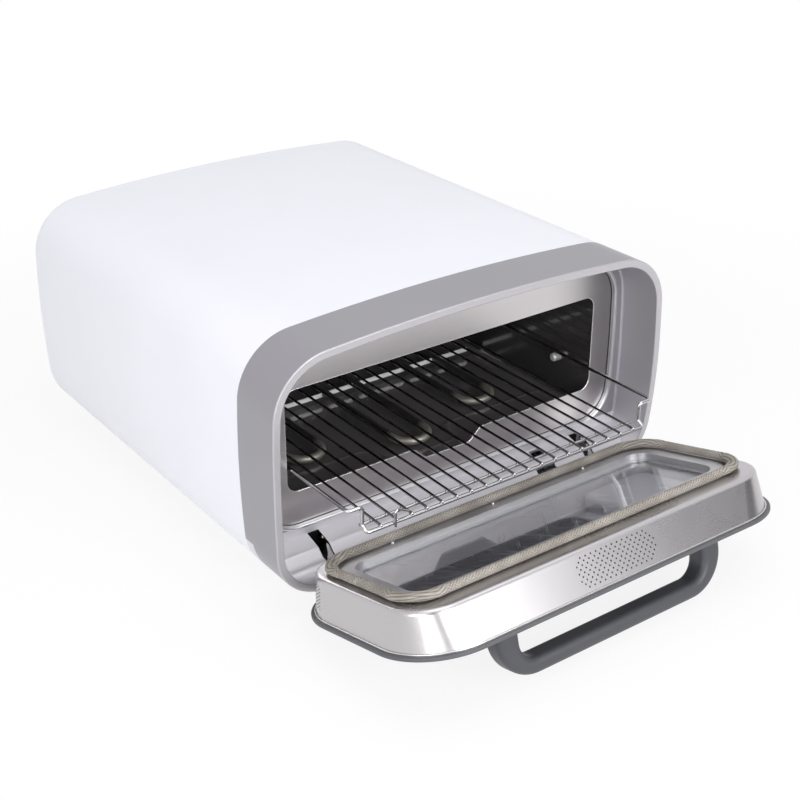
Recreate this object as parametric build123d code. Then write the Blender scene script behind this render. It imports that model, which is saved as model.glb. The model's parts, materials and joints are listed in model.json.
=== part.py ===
"""Countertop electric pizza oven with its door open and its rack drawn out. Sizes are in millimetres.

X runs to the right as seen from the front, Y to the back and Z up. The pieces are drawn with the ring's front
at y = 0 and the body's underside at z = 0. The door is drawn closed and then swung open about its hinge axis.
At the end everything moves so that the middle of the whole footprint, at table height, is the origin.
"""

from build123d import *
import math
import os

# Body: a crowned tube that runs from front to back
body_width = 460.0
body_height = 258.0
body_depth = 500.0
top_crown = 10.4
side_crown = 6.2
body_corner_r = 59.0
shell_wall = 1.0
rear_edge_r = 10.0
rear_border = 20.0
screw_r = 2.0
screw_head_r = 4.0
screw_head_height = 2.4

# Clearances
fit_gap = 0.3
running_gap = 0.05

# Feet
foot_height = 12.0
foot_r = 13.0
foot_side_margin = 95.0
foot_y_front = 85.0
foot_rear_margin = 70.0
foot_recess_r = 6.0
foot_recess = 3.0
foot_seat = 8.0
foot_screw_grip = 8.0
foot_x = body_width / 2 - foot_side_margin
foot_y_rear = body_depth - foot_rear_margin
rail_width = 22.0
rail_wall = 1.2
rail_low_z = 6.3

# Front ring, with the sill along its bottom
ring_depth = 60.0
lip_width = 7.4
lip_edge_r = 1.0
lip_rake = 12.0
lip_rake_top = 150.0
lip_rake_r = 1210.0
lip_step = 1.6
tongue_length = 12.0
tongue_wall = 2.4
sill_barrel_r = 14.0
sill_crest_y = 30.0
sill_crest_z = 39.5
sill_crest_r = 9.0
sill_back_z = 44.5
sill_skin = 2.6
seat_front_y = 48.0
seat_side_margin = 18.5
seat_top_margin = 19.0
seat_low_z = 53.5
seat_width = body_width - 2 * seat_side_margin
seat_high_z = body_height - seat_top_margin
seat_low_crown = 1.0
seat_crown = 8.0
seat_bulge = 3.0
seat_low_r = 35.0
seat_high_r = 45.0
seat_edge_r = 2.4

# Front panel and its opening
panel_front_y = 52.6
panel_wall = 1.2
panel_cover = 5.5
opening_side_margin = 26.2
opening_top_margin = 44.6
opening_low_z = 90.0
opening_width = seat_width - 2 * opening_side_margin
opening_height = seat_high_z - opening_top_margin - opening_low_z
opening_corner_r = 12.0
notch_width_top = 82.0
notch_width_bottom = 54.0
notch_depth = 13.0
notch_r = 8.0

# Hinge slots in the sill, and the door switch between them
slot_width = 12.0
slot_inner_gap = 0.7
slot_rear_y = 47.5
slot_low_z = 13.4
hinge_floor_z = 9.4
latch_from_slot = 51.5
latch_width = 24.0
latch_front_y = 18.8
latch_tab = 7.0
latch_top_z = 31.5
latch_body_rear_y = 42.0
strike_offset = 3.0
strike_width = 16.0
strike_front_y = 35.5
strike_rear_y = 46.5

# Oven cavity
cavity_side_cover = 1.2
cavity_floor_z = 58.0
cavity_top_margin = 42.0
cavity_rear_margin = 105.0
cavity_half_width = opening_width / 2 + cavity_side_cover
cavity_top_z = body_height - cavity_top_margin
cavity_rear_y = body_depth - cavity_rear_margin
cavity_corner_r = 12.0
liner_wall = 0.8
shelf_height = 4.0
shelf_rear_y = 122.0
shelf_bay_y = 88.0
shelf_bay_half_width = 46.0
shelf_bay_r = 16.0
blanket_wall = 12.0
blanket_front_y = 66.0

# Rack pegs on the cavity walls
peg_r = 4.6
peg_reach = 10.0
peg_nose_r = 2.5
peg_rows_y = (101.6, 262.0, 368.0)

# Heating tubes
tube_r = 4.0
tube_bend_r = 19.5
tube_half_width = 20.0
tube_side_margin = 78.5
tube_pitch_x = cavity_half_width - tube_side_margin
tube_wall_gap = 10.0
lower_tube_z = cavity_floor_z + tube_wall_gap
upper_tube_z = cavity_top_z - tube_wall_gap
tube_front_y_side = 131.0
tube_front_y_middle = 99.0
tube_tail = 24.0
tube_seal_r = 6.0
tube_seal_length = 12.0
support_rear_margin = 152.0
support_y = cavity_rear_y - support_rear_margin
support_wall = 1.2
support_low_height = 11.0

# Temperature probe and safety thermostat behind the cavity
probe_r = 2.5
probe_reach = 40.0
probe_drop = 26.0
probe_collar = 4.0
probe_tail = 14.0
cutout_r = 9.0
cutout_depth = 6.0
cutout_cap_r = 6.5
cutout_cap_end = 12.0
cutout_tab_end = 17.0
cutout_tab_half = 5.0
cutout_tab_wall = 4.0

# Rack
wire_r = 1.3
rail_r = 1.8
cross_bar_r = 1.5
rack_front_y = -39.0
rack_rear_margin = 112.0
rack_length = cavity_rear_y - rack_rear_margin - rack_front_y
rail_side_gap = 5.5
rail_half_width = cavity_half_width - rail_side_gap
rail_z = 115.5
rail_jog = 15.0
drop_half_width = rail_half_width - rail_jog
rack_bar_z = 92.5
bar_reach = 7.0
bar_step = 4.5
weld_gap = 0.05
rack_corner_r = 3.4
wire_count_each_side = 9
wire_side_margin = 14.35
wire_pitch = (drop_half_width - wire_side_margin) / wire_count_each_side
cross_bar_inset = 7.0
hook_r = 1.2
hook_from_side = 28.6
hook_span = 17.5
hook_height = 16.0
hook_foot = 2.5

# Door, as it stands when closed
door_side_margin = 9.25
door_low_z = 29.7
door_top_margin = 13.7
door_corner_r = 63.0
door_width = body_width - 2 * door_side_margin
door_height = body_height - door_top_margin - door_low_z
door_mid_z = door_low_z + door_height / 2
door_skin = 3.6
door_edge_r = 1.2
open_angle = 74.77
hinge_y = 22.3
hinge_z = 18.2
pan_side_margin = 4.75
pan_end_margin = 3.9
pan_side_draft = 7.75
pan_end_draft = 12.3
pan_base_width = door_width - 2 * pan_side_margin
pan_base_height = door_height - 2 * pan_end_margin
pan_top_width = pan_base_width - 2 * pan_side_draft
pan_top_height = pan_base_height - 2 * pan_end_draft
pan_base_r = 60.0
pan_top_r = 39.0
pan_top_w = 40.0
pan_wall = 0.8
pan_shoulder_r = 4.5
hem_width = 1.4
gasket_side_margin = 11.25
gasket_end_margin = 19.1
gasket_width = pan_top_width - 2 * gasket_side_margin
gasket_height = pan_top_height - 2 * gasket_end_margin
gasket_corner_r = 31.4
gasket_drop = 2.5
gasket_r = 4.6
gasket_seat = 0.3
window_margin = 19.0
window_width = gasket_width - 2 * window_margin
window_height = gasket_height - 2 * window_margin
window_corner_r = 17.0
frame_band = 12.0
frame_step = 6.0
frame_wall = 0.8
frame_ledge = 6.0
clip_r = 1.8
clip_rise = 1.4
clip_low_x = (-121.0, -3.0, 112.0)
clip_high_x = (-38.0, 25.0, 74.0, 134.0)
inner_glass_wall = 4.0
core_wall = 5.0
core_floor_wall = 2.4
outer_window_side_gap = 8.0
outer_window_end_gap = 9.0
outer_window_control_gap = 112.0
outer_window_width = window_width - outer_window_side_gap - outer_window_control_gap
outer_window_height = window_height - 2 * outer_window_end_gap
outer_window_x = (outer_window_side_gap - outer_window_control_gap) / 2
outer_window_r = 14.0
outer_glass_wall = 3.0
outer_glass_rebate = 6.0

# Vent holes punched in the pan's walls
vent_hole_r = 0.8
vent_pitch = 6.1
vent_columns = 15
vent_rows = 9
vent_patch_width = 92.0
vent_patch_height = 27.5
vent_patch_r = 11.0
vent_mid_x = -1.5
vent_mid_w = 21.5
side_vent_margin = 41.4
side_vent_columns = 5
side_vent_rows = 7

# Handle on the door's outer face
handle_side_margin = 88.75
handle_width = door_width - 2 * handle_side_margin
handle_reach = 53.5
handle_bar = 16.0
handle_leg = 23.0
handle_band = 23.0
handle_end_margin = 28.8
handle_mid_v = door_height / 2 - handle_end_margin
handle_outer_r = 40.0
handle_inner_r = 17.0
handle_edge_r = 6.5
screw_grip = 12.0

# Controls at the right end of the door
control_side_margin = 49.0
control_x = window_width / 2 - control_side_margin
control_v = -2.5
knob_r = 18.0
knob_height = 15.0
knob_gap = 0.6
knob_skirt = 4.0
knob_skirt_lip = 2.0
knob_taper = 2.0
knob_edge_r = 1.2
flute_r = 2.6
pointer_half = 1.0
pointer_rise = 0.8
pointer_inner = 4.0
pointer_outer = 6.0
spindle_end_gap = 2.0
knob_flutes = 12
knob_spread_v = 33.0
spindle_r = 3.0
button_r = 6.0
button_rise = 3.0
button_travel = 1.5
button_switch_gap = 3.0
button_edge_r = 1.2
housing_width = 84.0
housing_height = 94.0
housing_depth = 15.0
housing_r = 14.0
housing_wall = 1.6
housing_edge_r = 5.0
board_wall = 1.6
board_post = 4.0
post_r = 3.0
pot_size = 16.0
switch_size = 10.0
button_flange = 1.5
button_flange_wall = 1.2

# Hinge hardware
arm_side_margin = 58.8
arm_width = 5.5
arm_inner_x = pan_base_width / 2 - arm_side_margin
slot_inner_x = arm_inner_x - slot_inner_gap
slot_outer_x = slot_inner_x + slot_width
latch_x = slot_inner_x - latch_from_slot
arm_boss_r = 7.0
pin_r = 3.0
cheek_wall = 2.0
cheek_gap = 0.5
cheek_r = 8.6
bracket_wall = 1.2
bracket_tail = 12.0
arm_neck = 12.0
arm_foot_height = 34.0
arm_foot_wall = 3.0

# Rear compartment
fan_side_margin = 135.0
fan_top_margin = 118.0
fan_x = body_width / 2 - fan_side_margin
fan_z = body_height - fan_top_margin
fan_size = 80.0
fan_corner_r = 6.0
fan_depth = 25.0
fan_bore_r = 37.5
fan_hub_r = 15.0
fan_blade_count = 7
fan_blade_wall = 2.0
fan_blade_tilt = 35.0
fan_shaft_r = 1.5
fan_strut_depth = 3.0
fan_strut_width = 4.0
fan_end_gap = 1.0
fan_rear_gap = 2.0
fan_tip_gap = 1.2
rear_panel_wall = 1.2
vent_slot_length = 60.0
vent_slot_width = 3.6
vent_slot_pitch = 8.0
vent_slot_count = 9
gland_side_margin = 80.0
gland_x = gland_side_margin - body_width / 2
gland_z = 52.0
gland_r = 7.0
gland_bore_r = 4.0
gland_flange_r = 10.5
gland_flange = 4.0
gland_length = 20.0
gland_nut = 4.0
gland_edge_r = 1.5
power_board_width = 120.0
power_board_height = 84.0
power_board_r = 3.0
standoff_length = 14.0
standoff_r = 3.0
standoff_inset = 6.0
relay_size = (22.0, 28.0, 16.0)
transformer_size = (32.0, 36.0, 24.0)
terminal_row_size = (14.0, 64.0, 11.0)

# Places worked out from the sizes above
door_front_y = panel_front_y - fit_gap - (pan_top_w + gasket_seat + 2 * gasket_r)
rear_panel_y = body_depth - shell_wall - rear_panel_wall
liner_front_y = panel_front_y + panel_wall
hinge_axis = Axis((0, hinge_y, hinge_z), (1, 0, 0))
SIDES = {"left": -1, "right": 1}


def crowned_face(width, low, high, low_crown, high_crown, bulge, low_r, high_r):
    """A face at y = 0 with four shallow outward arcs and rounded corners."""
    half = width / 2
    side = half - bulge
    middle = (low + high) / 2
    foot = low + low_crown
    shoulder = high - high_crown
    outline = [
        ThreePointArc((-side, shoulder), (0, high), (side, shoulder)),
        ThreePointArc((side, shoulder), (half, middle), (side, foot)),
        ThreePointArc((side, foot), (0, low), (-side, foot)),
        ThreePointArc((-side, foot), (-half, middle), (-side, shoulder)),
    ]
    face = make_face(outline)
    face = fillet(face.vertices().sort_by(Axis.Y)[:2], low_r)
    face = fillet([v for v in face.vertices() if v.Y > shoulder - 1 and abs(v.X) > side - 1], high_r)
    return Plane.XZ * face


def body_slab(inset, y_start, y_end):
    """The body's outline, drawn in by inset, as a slab from y_start to y_end."""
    face = crowned_face(
        body_width - 2 * inset,
        inset,
        body_height - inset,
        top_crown,
        top_crown,
        side_crown,
        body_corner_r - inset,
        body_corner_r - inset,
    )
    return extrude(Pos(0, y_start, 0) * face, amount=y_end - y_start, dir=(0, 1, 0))


def block(x_range, y_range, z_range):
    """A box between two corners."""
    low = (x_range[0], y_range[0], z_range[0])
    size = (x_range[1] - x_range[0], y_range[1] - y_range[0], z_range[1] - z_range[0])
    return Pos(*[a + s / 2 for a, s in zip(low, size)]) * Box(*size)


def rounded_slab(width, height, corner_r, y_start, y_end, x=0.0, z=0.0):
    """A rounded rectangle in X and Z, from y_start to y_end."""
    face = Plane.XZ * RectangleRounded(width, height, corner_r)
    return extrude(Pos(x, y_start, z) * face, amount=y_end - y_start, dir=(0, 1, 0))


def rod_y(x, z, radius, y_start, y_end):
    """A round rod along Y."""
    face = Plane.XZ * Circle(radius)
    return extrude(Pos(x, y_start, z) * face, amount=y_end - y_start, dir=(0, 1, 0))


def rod_x(y, z, radius, x_start, x_end):
    """A round rod along X."""
    face = Plane.YZ * Circle(radius)
    return extrude(Pos(x_start, y, z) * face, amount=x_end - x_start, dir=(1, 0, 0))


def rod_z(x, y, radius, z_start, z_end):
    """A round rod along Z."""
    return Pos(x, y, z_start) * extrude(Circle(radius), amount=z_end - z_start)


def prism_x(points, x_start, x_end):
    """A polygon in Y and Z, from x_start to x_end."""
    face = Plane.YZ * make_face(Polyline(*points, close=True))
    return extrude(Pos(x_start, 0, 0) * face, amount=x_end - x_start, dir=(1, 0, 0))


def swept_wire(path, radius):
    """A round wire along a path."""
    return sweep(Plane(path @ 0, z_dir=path % 0) * Circle(radius), path=path)


def door_slab(width, height, corner_r, w_start, w_end, x=0.0, v=0.0):
    """A rounded slab of the door. w counts inwards from the door's outer face, v up from its middle."""
    start, end = door_front_y + w_start, door_front_y + w_end
    return rounded_slab(width, height, corner_r, start, end, x, door_mid_z + v)


def front_of(shape, distance):
    """The edges of the shape that lie within distance of its front."""
    front = shape.bounding_box().min.Y
    return [e for e in shape.edges() if e.bounding_box().max.Y < front + distance]


def outer_shell():
    """White wrap of the body, open at the front and behind the rear border."""
    outer = body_slab(0, ring_depth, body_depth)
    outer = fillet(outer.edges().group_by(Axis.Y)[-1], rear_edge_r)
    hollow = body_slab(shell_wall, ring_depth - 1, body_depth - shell_wall)
    hollow = fillet(hollow.edges().group_by(Axis.Y)[-1], rear_edge_r - shell_wall)
    shell = outer - hollow - body_slab(rear_border, body_depth - 2 * rear_edge_r, body_depth + 1)
    for x, z in rear_screw_places():
        shell -= rod_y(x, z, screw_r + running_gap, body_depth - 2 * shell_wall, body_depth + 1)
    for x, y in foot_places():
        shell -= rod_z(x, y, screw_r + fit_gap, -1, 4 * shell_wall + top_crown)
    return shell


def rear_screw_places():
    """Where the rear panel's screws stand: on the border's middle line, three along top and bottom."""
    inset = (rear_border + rear_edge_r) / 2
    reach = body_width / 2 - 1.6 * body_corner_r
    heights = (inset + 1.5, body_height - inset - 1.5)
    return [(x, z) for z in heights for x in (-reach, 0, reach)]


def rear_panel():
    """Flat sheet inside the rear border, with slots behind the fan and the board, and the inlet's hole."""
    inset = (rear_border + rear_edge_r) / 2 - screw_head_r
    panel = body_slab(inset, rear_panel_y, rear_panel_y + rear_panel_wall)
    span = (vent_slot_count - 1) * vent_slot_pitch
    for middle in (fan_x, -fan_x):
        for i in range(vent_slot_count):
            z = fan_z - span / 2 + i * vent_slot_pitch
            panel -= rounded_slab(
                vent_slot_length,
                vent_slot_width,
                vent_slot_width / 2 - 0.05,
                rear_panel_y - 1,
                body_depth,
                middle,
                z,
            )
    panel -= rod_y(gland_x, gland_z, gland_r + fit_gap, rear_panel_y - 1, body_depth)
    for x, z in rear_screw_places():
        panel -= rod_y(x, z, screw_r + running_gap, rear_panel_y - 1, body_depth)
    return panel


def rear_panel_screws():
    """Round-headed screws through the rear border and the panel."""
    screws = []
    for x, z in rear_screw_places():
        shank = rod_y(x, z, screw_r, rear_panel_y - 6, body_depth)
        head = rod_y(x, z, screw_head_r, body_depth, body_depth + screw_head_height)
        head = fillet(head.edges().group_by(Axis.Y)[-1], 1.2)
        screws.append(shank + head)
    return screws


def sill_void(skin):
    """All that is above the sill: a ledge at the back, a crest, and a barrel round the hinge axis in front.

    With a skin, the surface lies that much lower, which is where the hollow below it ends.
    """
    barrel = sill_barrel_r - skin
    low = lip_width if skin == 0 else hinge_z
    front = hinge_y - barrel
    slant = barrel * math.sqrt(0.5)
    high = 2 * body_height
    crest = (sill_crest_y, sill_crest_z - skin)
    outline = [
        Polyline((hinge_y, hinge_z + barrel), crest, (seat_front_y, sill_back_z - skin)),
        Polyline(
            (seat_front_y, sill_back_z - skin),
            (2 * ring_depth, sill_back_z - skin),
            (2 * ring_depth, high),
            (-lip_rake, high),
            (-lip_rake, low),
            (front + lip_step, low),
            (front, hinge_z),
        ),
        ThreePointArc((front, hinge_z), (hinge_y - slant, hinge_z + slant), (hinge_y, hinge_z + barrel)),
    ]
    if skin:
        outline[1] = Polyline(
            (seat_front_y, sill_back_z - skin),
            (2 * ring_depth, sill_back_z - skin),
            (2 * ring_depth, high),
            (-lip_rake, high),
            (-lip_rake, low),
            (front, low),
        )
    face = make_face(outline)
    corner = [v for v in face.vertices() if abs(v.X - sill_crest_y) < 0.01]
    face = Plane.YZ * fillet(corner, sill_crest_r)
    return extrude(Pos(-body_width, 0, 0) * face, amount=2 * body_width, dir=(1, 0, 0))


def front_ring():
    """Grey sleeve round the mouth: lip, inner walls, sill, the flange that seats the panel, and a tongue."""
    mouth = body_slab(lip_width, -1, seat_front_y) & sill_void(0)
    ring = body_slab(0, 0, ring_depth) - raked_front() - mouth
    ring = fillet([e for e in ring.edges() if lies_on_front(e)], lip_edge_r)
    seat = crowned_face(
        seat_width, seat_low_z, seat_high_z, seat_low_crown, seat_crown, seat_bulge, seat_low_r, seat_high_r
    )
    ring -= extrude(Pos(0, -1, 0) * seat, amount=ring_depth + 2, dir=(0, 1, 0))
    ring = fillet([e for e in ring.edges() if lies_on_seat_rim(e)], seat_edge_r)
    pocket = Pos(0, panel_front_y, 0) * panel_outline(fit_gap)
    ring -= extrude(pocket, amount=ring_depth, dir=(0, 1, 0))
    tongue = body_slab(shell_wall + fit_gap, ring_depth, ring_depth + tongue_length)
    tongue -= body_slab(shell_wall + fit_gap + tongue_wall, ring_depth - 1, ring_depth + tongue_length + 1)
    ring += tongue
    ring -= under_sill()
    for side in SIDES.values():
        ring -= hinge_slot(side)
    strike = latch_x + strike_offset
    ring -= block(
        (strike - strike_width / 2, strike + strike_width / 2),
        (strike_front_y, strike_rear_y),
        (sill_crest_z - 2 * sill_skin, body_height / 2),
    )
    return ring - block(
        (latch_x - latch_width / 2 - fit_gap, latch_x + latch_width / 2 + fit_gap),
        (latch_front_y - fit_gap, latch_front_y + latch_tab + fit_gap),
        (hinge_z, body_height / 2),
    )


def lies_on_seat_rim(edge):
    """Whether an edge is the front rim of the opening that seats the panel."""
    box = edge.bounding_box()
    flat = abs(box.min.Y - seat_front_y) < 0.01 and abs(box.max.Y - seat_front_y) < 0.01
    middle = edge.center()
    inside = abs(middle.X) < seat_width / 2 + 0.5 and seat_low_z - 1 < middle.Z < seat_high_z + 0.5
    return flat and inside


def front_y(z):
    """The y of the ring's front at a height: straight above, curving back below."""
    return max(0.0, lip_rake_top - z) ** 2 / (2 * lip_rake_r)


def lies_on_front(edge):
    """Whether an edge bounds the ring's front, leaving out the lines where its curve begins."""
    points = [edge.position_at(t) for t in (0.0, 0.5, 1.0)]
    on_front = all(abs(p.Y - front_y(p.Z)) < 0.05 for p in points)
    level = abs(points[0].Z - lip_rake_top) < 0.05 and abs(points[2].Z - lip_rake_top) < 0.05
    return on_front and not level


def raked_front():
    """What the front's lower curve takes away."""
    low = -0.2 * body_height
    arc = ThreePointArc(
        (front_y(low), low), (front_y((low + lip_rake_top) / 2), (low + lip_rake_top) / 2), (0, lip_rake_top)
    )
    back = Polyline((0, lip_rake_top), (-ring_depth, lip_rake_top), (-ring_depth, low), (front_y(low), low))
    face = Plane.YZ * make_face([arc, back])
    return extrude(Pos(-body_width, 0, 0) * face, amount=2 * body_width, dir=(1, 0, 0))


def under_sill():
    """The hollow below the sill's skin, open to the rear, with a level floor under each hinge."""
    tunnel = body_slab(sill_skin, hinge_y - sill_barrel_r + sill_skin, ring_depth + tongue_length + 1)
    hollow = tunnel & block((-slot_inner_x, slot_inner_x), (0, body_depth), (0, seat_low_z))
    for side in SIDES.values():
        bay = block(
            sorted((side * (slot_inner_x - cheek_wall), side * (slot_outer_x + cheek_wall))),
            (0, seat_front_y + 1),
            (hinge_floor_z, seat_low_z),
        )
        hollow += tunnel & bay
    return hollow - sill_void(sill_skin)


def hinge_slot(side):
    """The slot in the sill that one hinge arm swings through."""
    return block(
        sorted((side * slot_inner_x, side * slot_outer_x)), (-1, slot_rear_y), (slot_low_z, body_height / 3)
    )


def panel_outline(gap):
    """The front panel's outline: the seat's opening grown by the cover that tucks behind the flange."""
    grow = panel_cover + gap
    return crowned_face(
        seat_width + 2 * grow,
        seat_low_z - grow,
        seat_high_z + grow,
        seat_low_crown,
        seat_crown,
        seat_bulge,
        seat_low_r + grow,
        seat_high_r + grow,
    )


def front_panel():
    """Brushed sheet with the oven's mouth and the dip in its lower edge."""
    panel = extrude(Pos(0, panel_front_y, 0) * panel_outline(0), amount=panel_wall, dir=(0, 1, 0))
    return panel - mouth_opening(panel_front_y - 1, panel_front_y + panel_wall + 1)


def mouth_opening(y_start, y_end):
    """The mouth, a rounded slot with a shallow dip in the middle of its lower edge."""
    middle = opening_low_z + opening_height / 2
    mouth = RectangleRounded(opening_width, opening_height, opening_corner_r)
    dip_top = -opening_height / 2 + notch_depth
    half_top = notch_width_top / 2 + notch_depth
    dip = make_face(
        Polyline(
            (-half_top, dip_top),
            (-notch_width_top / 2, -opening_height / 2),
            (-notch_width_bottom / 2, -opening_height / 2 - notch_depth),
            (notch_width_bottom / 2, -opening_height / 2 - notch_depth),
            (notch_width_top / 2, -opening_height / 2),
            (half_top, dip_top),
            close=True,
        )
    )
    face = mouth + dip
    corners = [v for v in face.vertices() if abs(v.X) < half_top and v.Y < -opening_height / 2 + 0.5]
    face = fillet(corners, notch_r)
    return extrude(Pos(0, y_start, middle) * (Plane.XZ * face), amount=y_end - y_start, dir=(0, 1, 0))


def tube_places():
    """Each heating tube's name, middle x and front y."""
    return {
        "left": (-tube_pitch_x, tube_front_y_side),
        "middle": (0.0, tube_front_y_middle),
        "right": (tube_pitch_x, tube_front_y_side),
    }


def tube_legs():
    """Where the legs of the heating tubes pass through the rear wall."""
    legs = []
    for x, _ in tube_places().values():
        for z in (lower_tube_z, upper_tube_z):
            legs += [(x - tube_half_width, z), (x + tube_half_width, z)]
    return legs


def cavity_liner():
    """Dark enamelled box with rounded long edges, a stepped floor and holes for tubes and probe."""
    width = 2 * cavity_half_width
    height = cavity_top_z - cavity_floor_z
    middle = (cavity_top_z + cavity_floor_z) / 2
    outer = rounded_slab(
        width + 2 * liner_wall,
        height + 2 * liner_wall,
        cavity_corner_r + liner_wall,
        liner_front_y,
        cavity_rear_y + liner_wall,
        z=middle,
    )
    inner = rounded_slab(width, height, cavity_corner_r, liner_front_y - 1, cavity_rear_y, z=middle)
    shelf = Rectangle(width - 2 * cavity_corner_r, shelf_rear_y - liner_front_y)
    shelf = Pos(0, (shelf_rear_y + liner_front_y) / 2) * shelf
    bay = Pos(0, shelf_rear_y) * RectangleRounded(
        2 * shelf_bay_half_width, 2 * (shelf_rear_y - shelf_bay_y), shelf_bay_r
    )
    shelf = Pos(0, 0, cavity_floor_z) * extrude(shelf - bay, amount=shelf_height)
    shelf = chamfer(shelf.edges().group_by(Axis.Z)[-1], 1.5)
    liner = outer - inner + shelf
    for x, z in tube_legs():
        liner -= rod_y(x, z, tube_r + fit_gap, cavity_rear_y - 1, cavity_rear_y + 3)
    x, z = probe_place()
    return liner - rod_y(x, z, probe_r + fit_gap, cavity_rear_y - 1, cavity_rear_y + 3)


def probe_place():
    """Where the temperature probe passes through the rear wall."""
    return tube_pitch_x / 2, upper_tube_z - probe_drop


def insulation_blanket():
    """Glass wool round the liner, closed behind it, with holes for tubes and probe."""
    width = 2 * (cavity_half_width + liner_wall + fit_gap)
    height = cavity_top_z - cavity_floor_z + 2 * (liner_wall + fit_gap)
    middle = (cavity_top_z + cavity_floor_z) / 2
    rear = cavity_rear_y + liner_wall + fit_gap
    outer = rounded_slab(
        width + 2 * blanket_wall,
        height + 2 * blanket_wall,
        cavity_corner_r + blanket_wall,
        blanket_front_y,
        rear + blanket_wall,
        z=middle,
    )
    blanket = outer - rounded_slab(width, height, cavity_corner_r + 1, blanket_front_y - 1, rear, z=middle)
    for x, z in tube_legs():
        blanket -= rod_y(x, z, tube_r + fit_gap, rear - 1, rear + blanket_wall + 1)
    x, z = probe_place()
    return blanket - rod_y(x, z, probe_r + fit_gap, rear - 1, rear + blanket_wall + 1)


def rack_pegs():
    """Domed pegs on both walls, which the rack's rails slide on."""
    peg_z = rail_z - rail_r - fit_gap - peg_r
    pegs = []
    for side in SIDES.values():
        for y in peg_rows_y:
            wall = side * cavity_half_width
            tip = side * (cavity_half_width - peg_reach)
            peg = rod_x(y, peg_z, peg_r, min(wall, tip), max(wall, tip))
            pegs.append(fillet(peg.edges().sort_by(lambda e: abs(e.center().X))[:1], peg_nose_r))
    return pegs


def heating_tube(x, front_y, z):
    """One hairpin tube, its bend at the front and its two tails through the rear wall."""
    rear = cavity_rear_y + liner_wall + fit_gap + blanket_wall + tube_tail
    left, right = x - tube_half_width, x + tube_half_width
    path = FilletPolyline(
        (left, rear, z), (left, front_y, z), (right, front_y, z), (right, rear, z), radius=tube_bend_r
    )
    return swept_wire(path, tube_r)


def tube_supports():
    """Bright cross strips that hold the lower tubes off the floor and hang the upper ones from the roof."""
    half = cavity_half_width - cavity_corner_r
    thickness = (support_y - support_wall / 2, support_y + support_wall / 2)
    low = block((-half, half), thickness, (cavity_floor_z, cavity_floor_z + support_low_height))
    high = block((-half, half), thickness, (cavity_top_z - support_low_height, cavity_top_z))
    for x, z in tube_legs():
        hole = rod_y(x, z, tube_r + running_gap, support_y - 5, support_y + 5)
        low -= hole
        high -= hole
    return [low, high]


def tube_terminals():
    """Ceramic collars and tabs on the tails of the tubes."""
    start = cavity_rear_y + liner_wall + fit_gap + blanket_wall
    collars = []
    for x, z in tube_legs():
        end = start + tube_seal_length
        collar = rod_y(x, z, tube_seal_r, start, end)
        collars.append(collar - rod_y(x, z, tube_r + running_gap, start - 1, end + 1))
    return collars


def temperature_probe():
    """Thin steel probe with a collar behind the blanket."""
    x, z = probe_place()
    start = cavity_rear_y + liner_wall + fit_gap + blanket_wall
    probe = rod_y(x, z, probe_r, cavity_rear_y - probe_reach, start + probe_tail)
    return probe + rod_y(x, z, 2 * probe_r, start, start + probe_collar)


def thermal_cutout():
    """Round safety thermostat on the back of the blanket."""
    start = cavity_rear_y + liner_wall + fit_gap + blanket_wall
    z = (lower_tube_z + upper_tube_z) / 2
    disc = rod_y(0, z, cutout_r, start, start + cutout_depth)
    cap = rod_y(0, z, cutout_cap_r, start + cutout_depth, start + cutout_cap_end)
    tab = block(
        (-cutout_tab_half, cutout_tab_half),
        (start + cutout_cap_end, start + cutout_tab_end),
        (z - cutout_tab_wall / 2, z + cutout_tab_wall / 2),
    )
    return disc + cap + tab


def rack_frame():
    """One bent wire: both rails, and at each end the drops, the steps outwards and the end bar."""
    points = []
    for y, outward in ((rack_front_y, -1), (rack_front_y + rack_length, 1)):
        half = [
            (rail_half_width, y, rail_z),
            (drop_half_width, y, rail_z),
            (drop_half_width, y, rack_bar_z + bar_step),
            (drop_half_width, y + outward * bar_reach, rack_bar_z),
        ]
        whole = [(-x, y, z) for x, y, z in half] + half[::-1]
        points += whole if outward < 0 else whole[::-1]
    path = FilletPolyline(*points, radius=rack_corner_r, close=True)
    return swept_wire(path, rail_r)


def rack_wires():
    """Thin straight wires from front to rear, lying on the bars."""
    z = rack_bar_z + rail_r + wire_r + weld_gap
    start, end = end_bar_places()
    wires = []
    for i in range(-wire_count_each_side, wire_count_each_side + 1):
        wires.append(rod_y(i * wire_pitch, z, wire_r, start - wire_r, end + wire_r))
    return wires


def end_bar_places():
    """The y of the frame's front and rear bars."""
    return rack_front_y - bar_reach, rack_front_y + rack_length + bar_reach


def rack_cross_bars():
    """A second bar behind the front bar and one before the rear bar, under the wires."""
    z = rack_bar_z + rail_r - cross_bar_r
    half = drop_half_width - rail_r
    places = (rack_front_y + cross_bar_inset, rack_front_y + rack_length - cross_bar_inset)
    return [rod_x(y, z, cross_bar_r, -half, half) for y in places]


def door_outer_panel():
    """Dark rim and outer skin of the door, with the window's hole and the holes of the controls."""
    panel = door_slab(door_width, door_height, door_corner_r, 0, door_skin)
    panel = fillet(panel.edges().filter_by(lambda e: e.bounding_box().size.Y < 0.01), door_edge_r)
    panel -= door_slab(
        outer_window_width, outer_window_height, outer_window_r, -1, door_skin + 1, outer_window_x
    )
    rebate = outer_glass_rebate
    panel -= door_slab(
        outer_window_width + 2 * rebate,
        outer_window_height + 2 * rebate,
        outer_window_r + rebate,
        door_skin / 2,
        door_skin + 1,
        outer_window_x,
    )
    for v in knob_places():
        panel -= door_rod(control_x, v, spindle_r + running_gap, -1, door_skin + 1)
    panel -= door_rod(control_x, control_v, button_r + fit_gap, -1, door_skin + 1)
    for side in SIDES.values():
        panel -= door_rod(side * handle_leg_x(), handle_mid_v, screw_r + running_gap, -1, door_skin + 1)
    return panel


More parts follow.
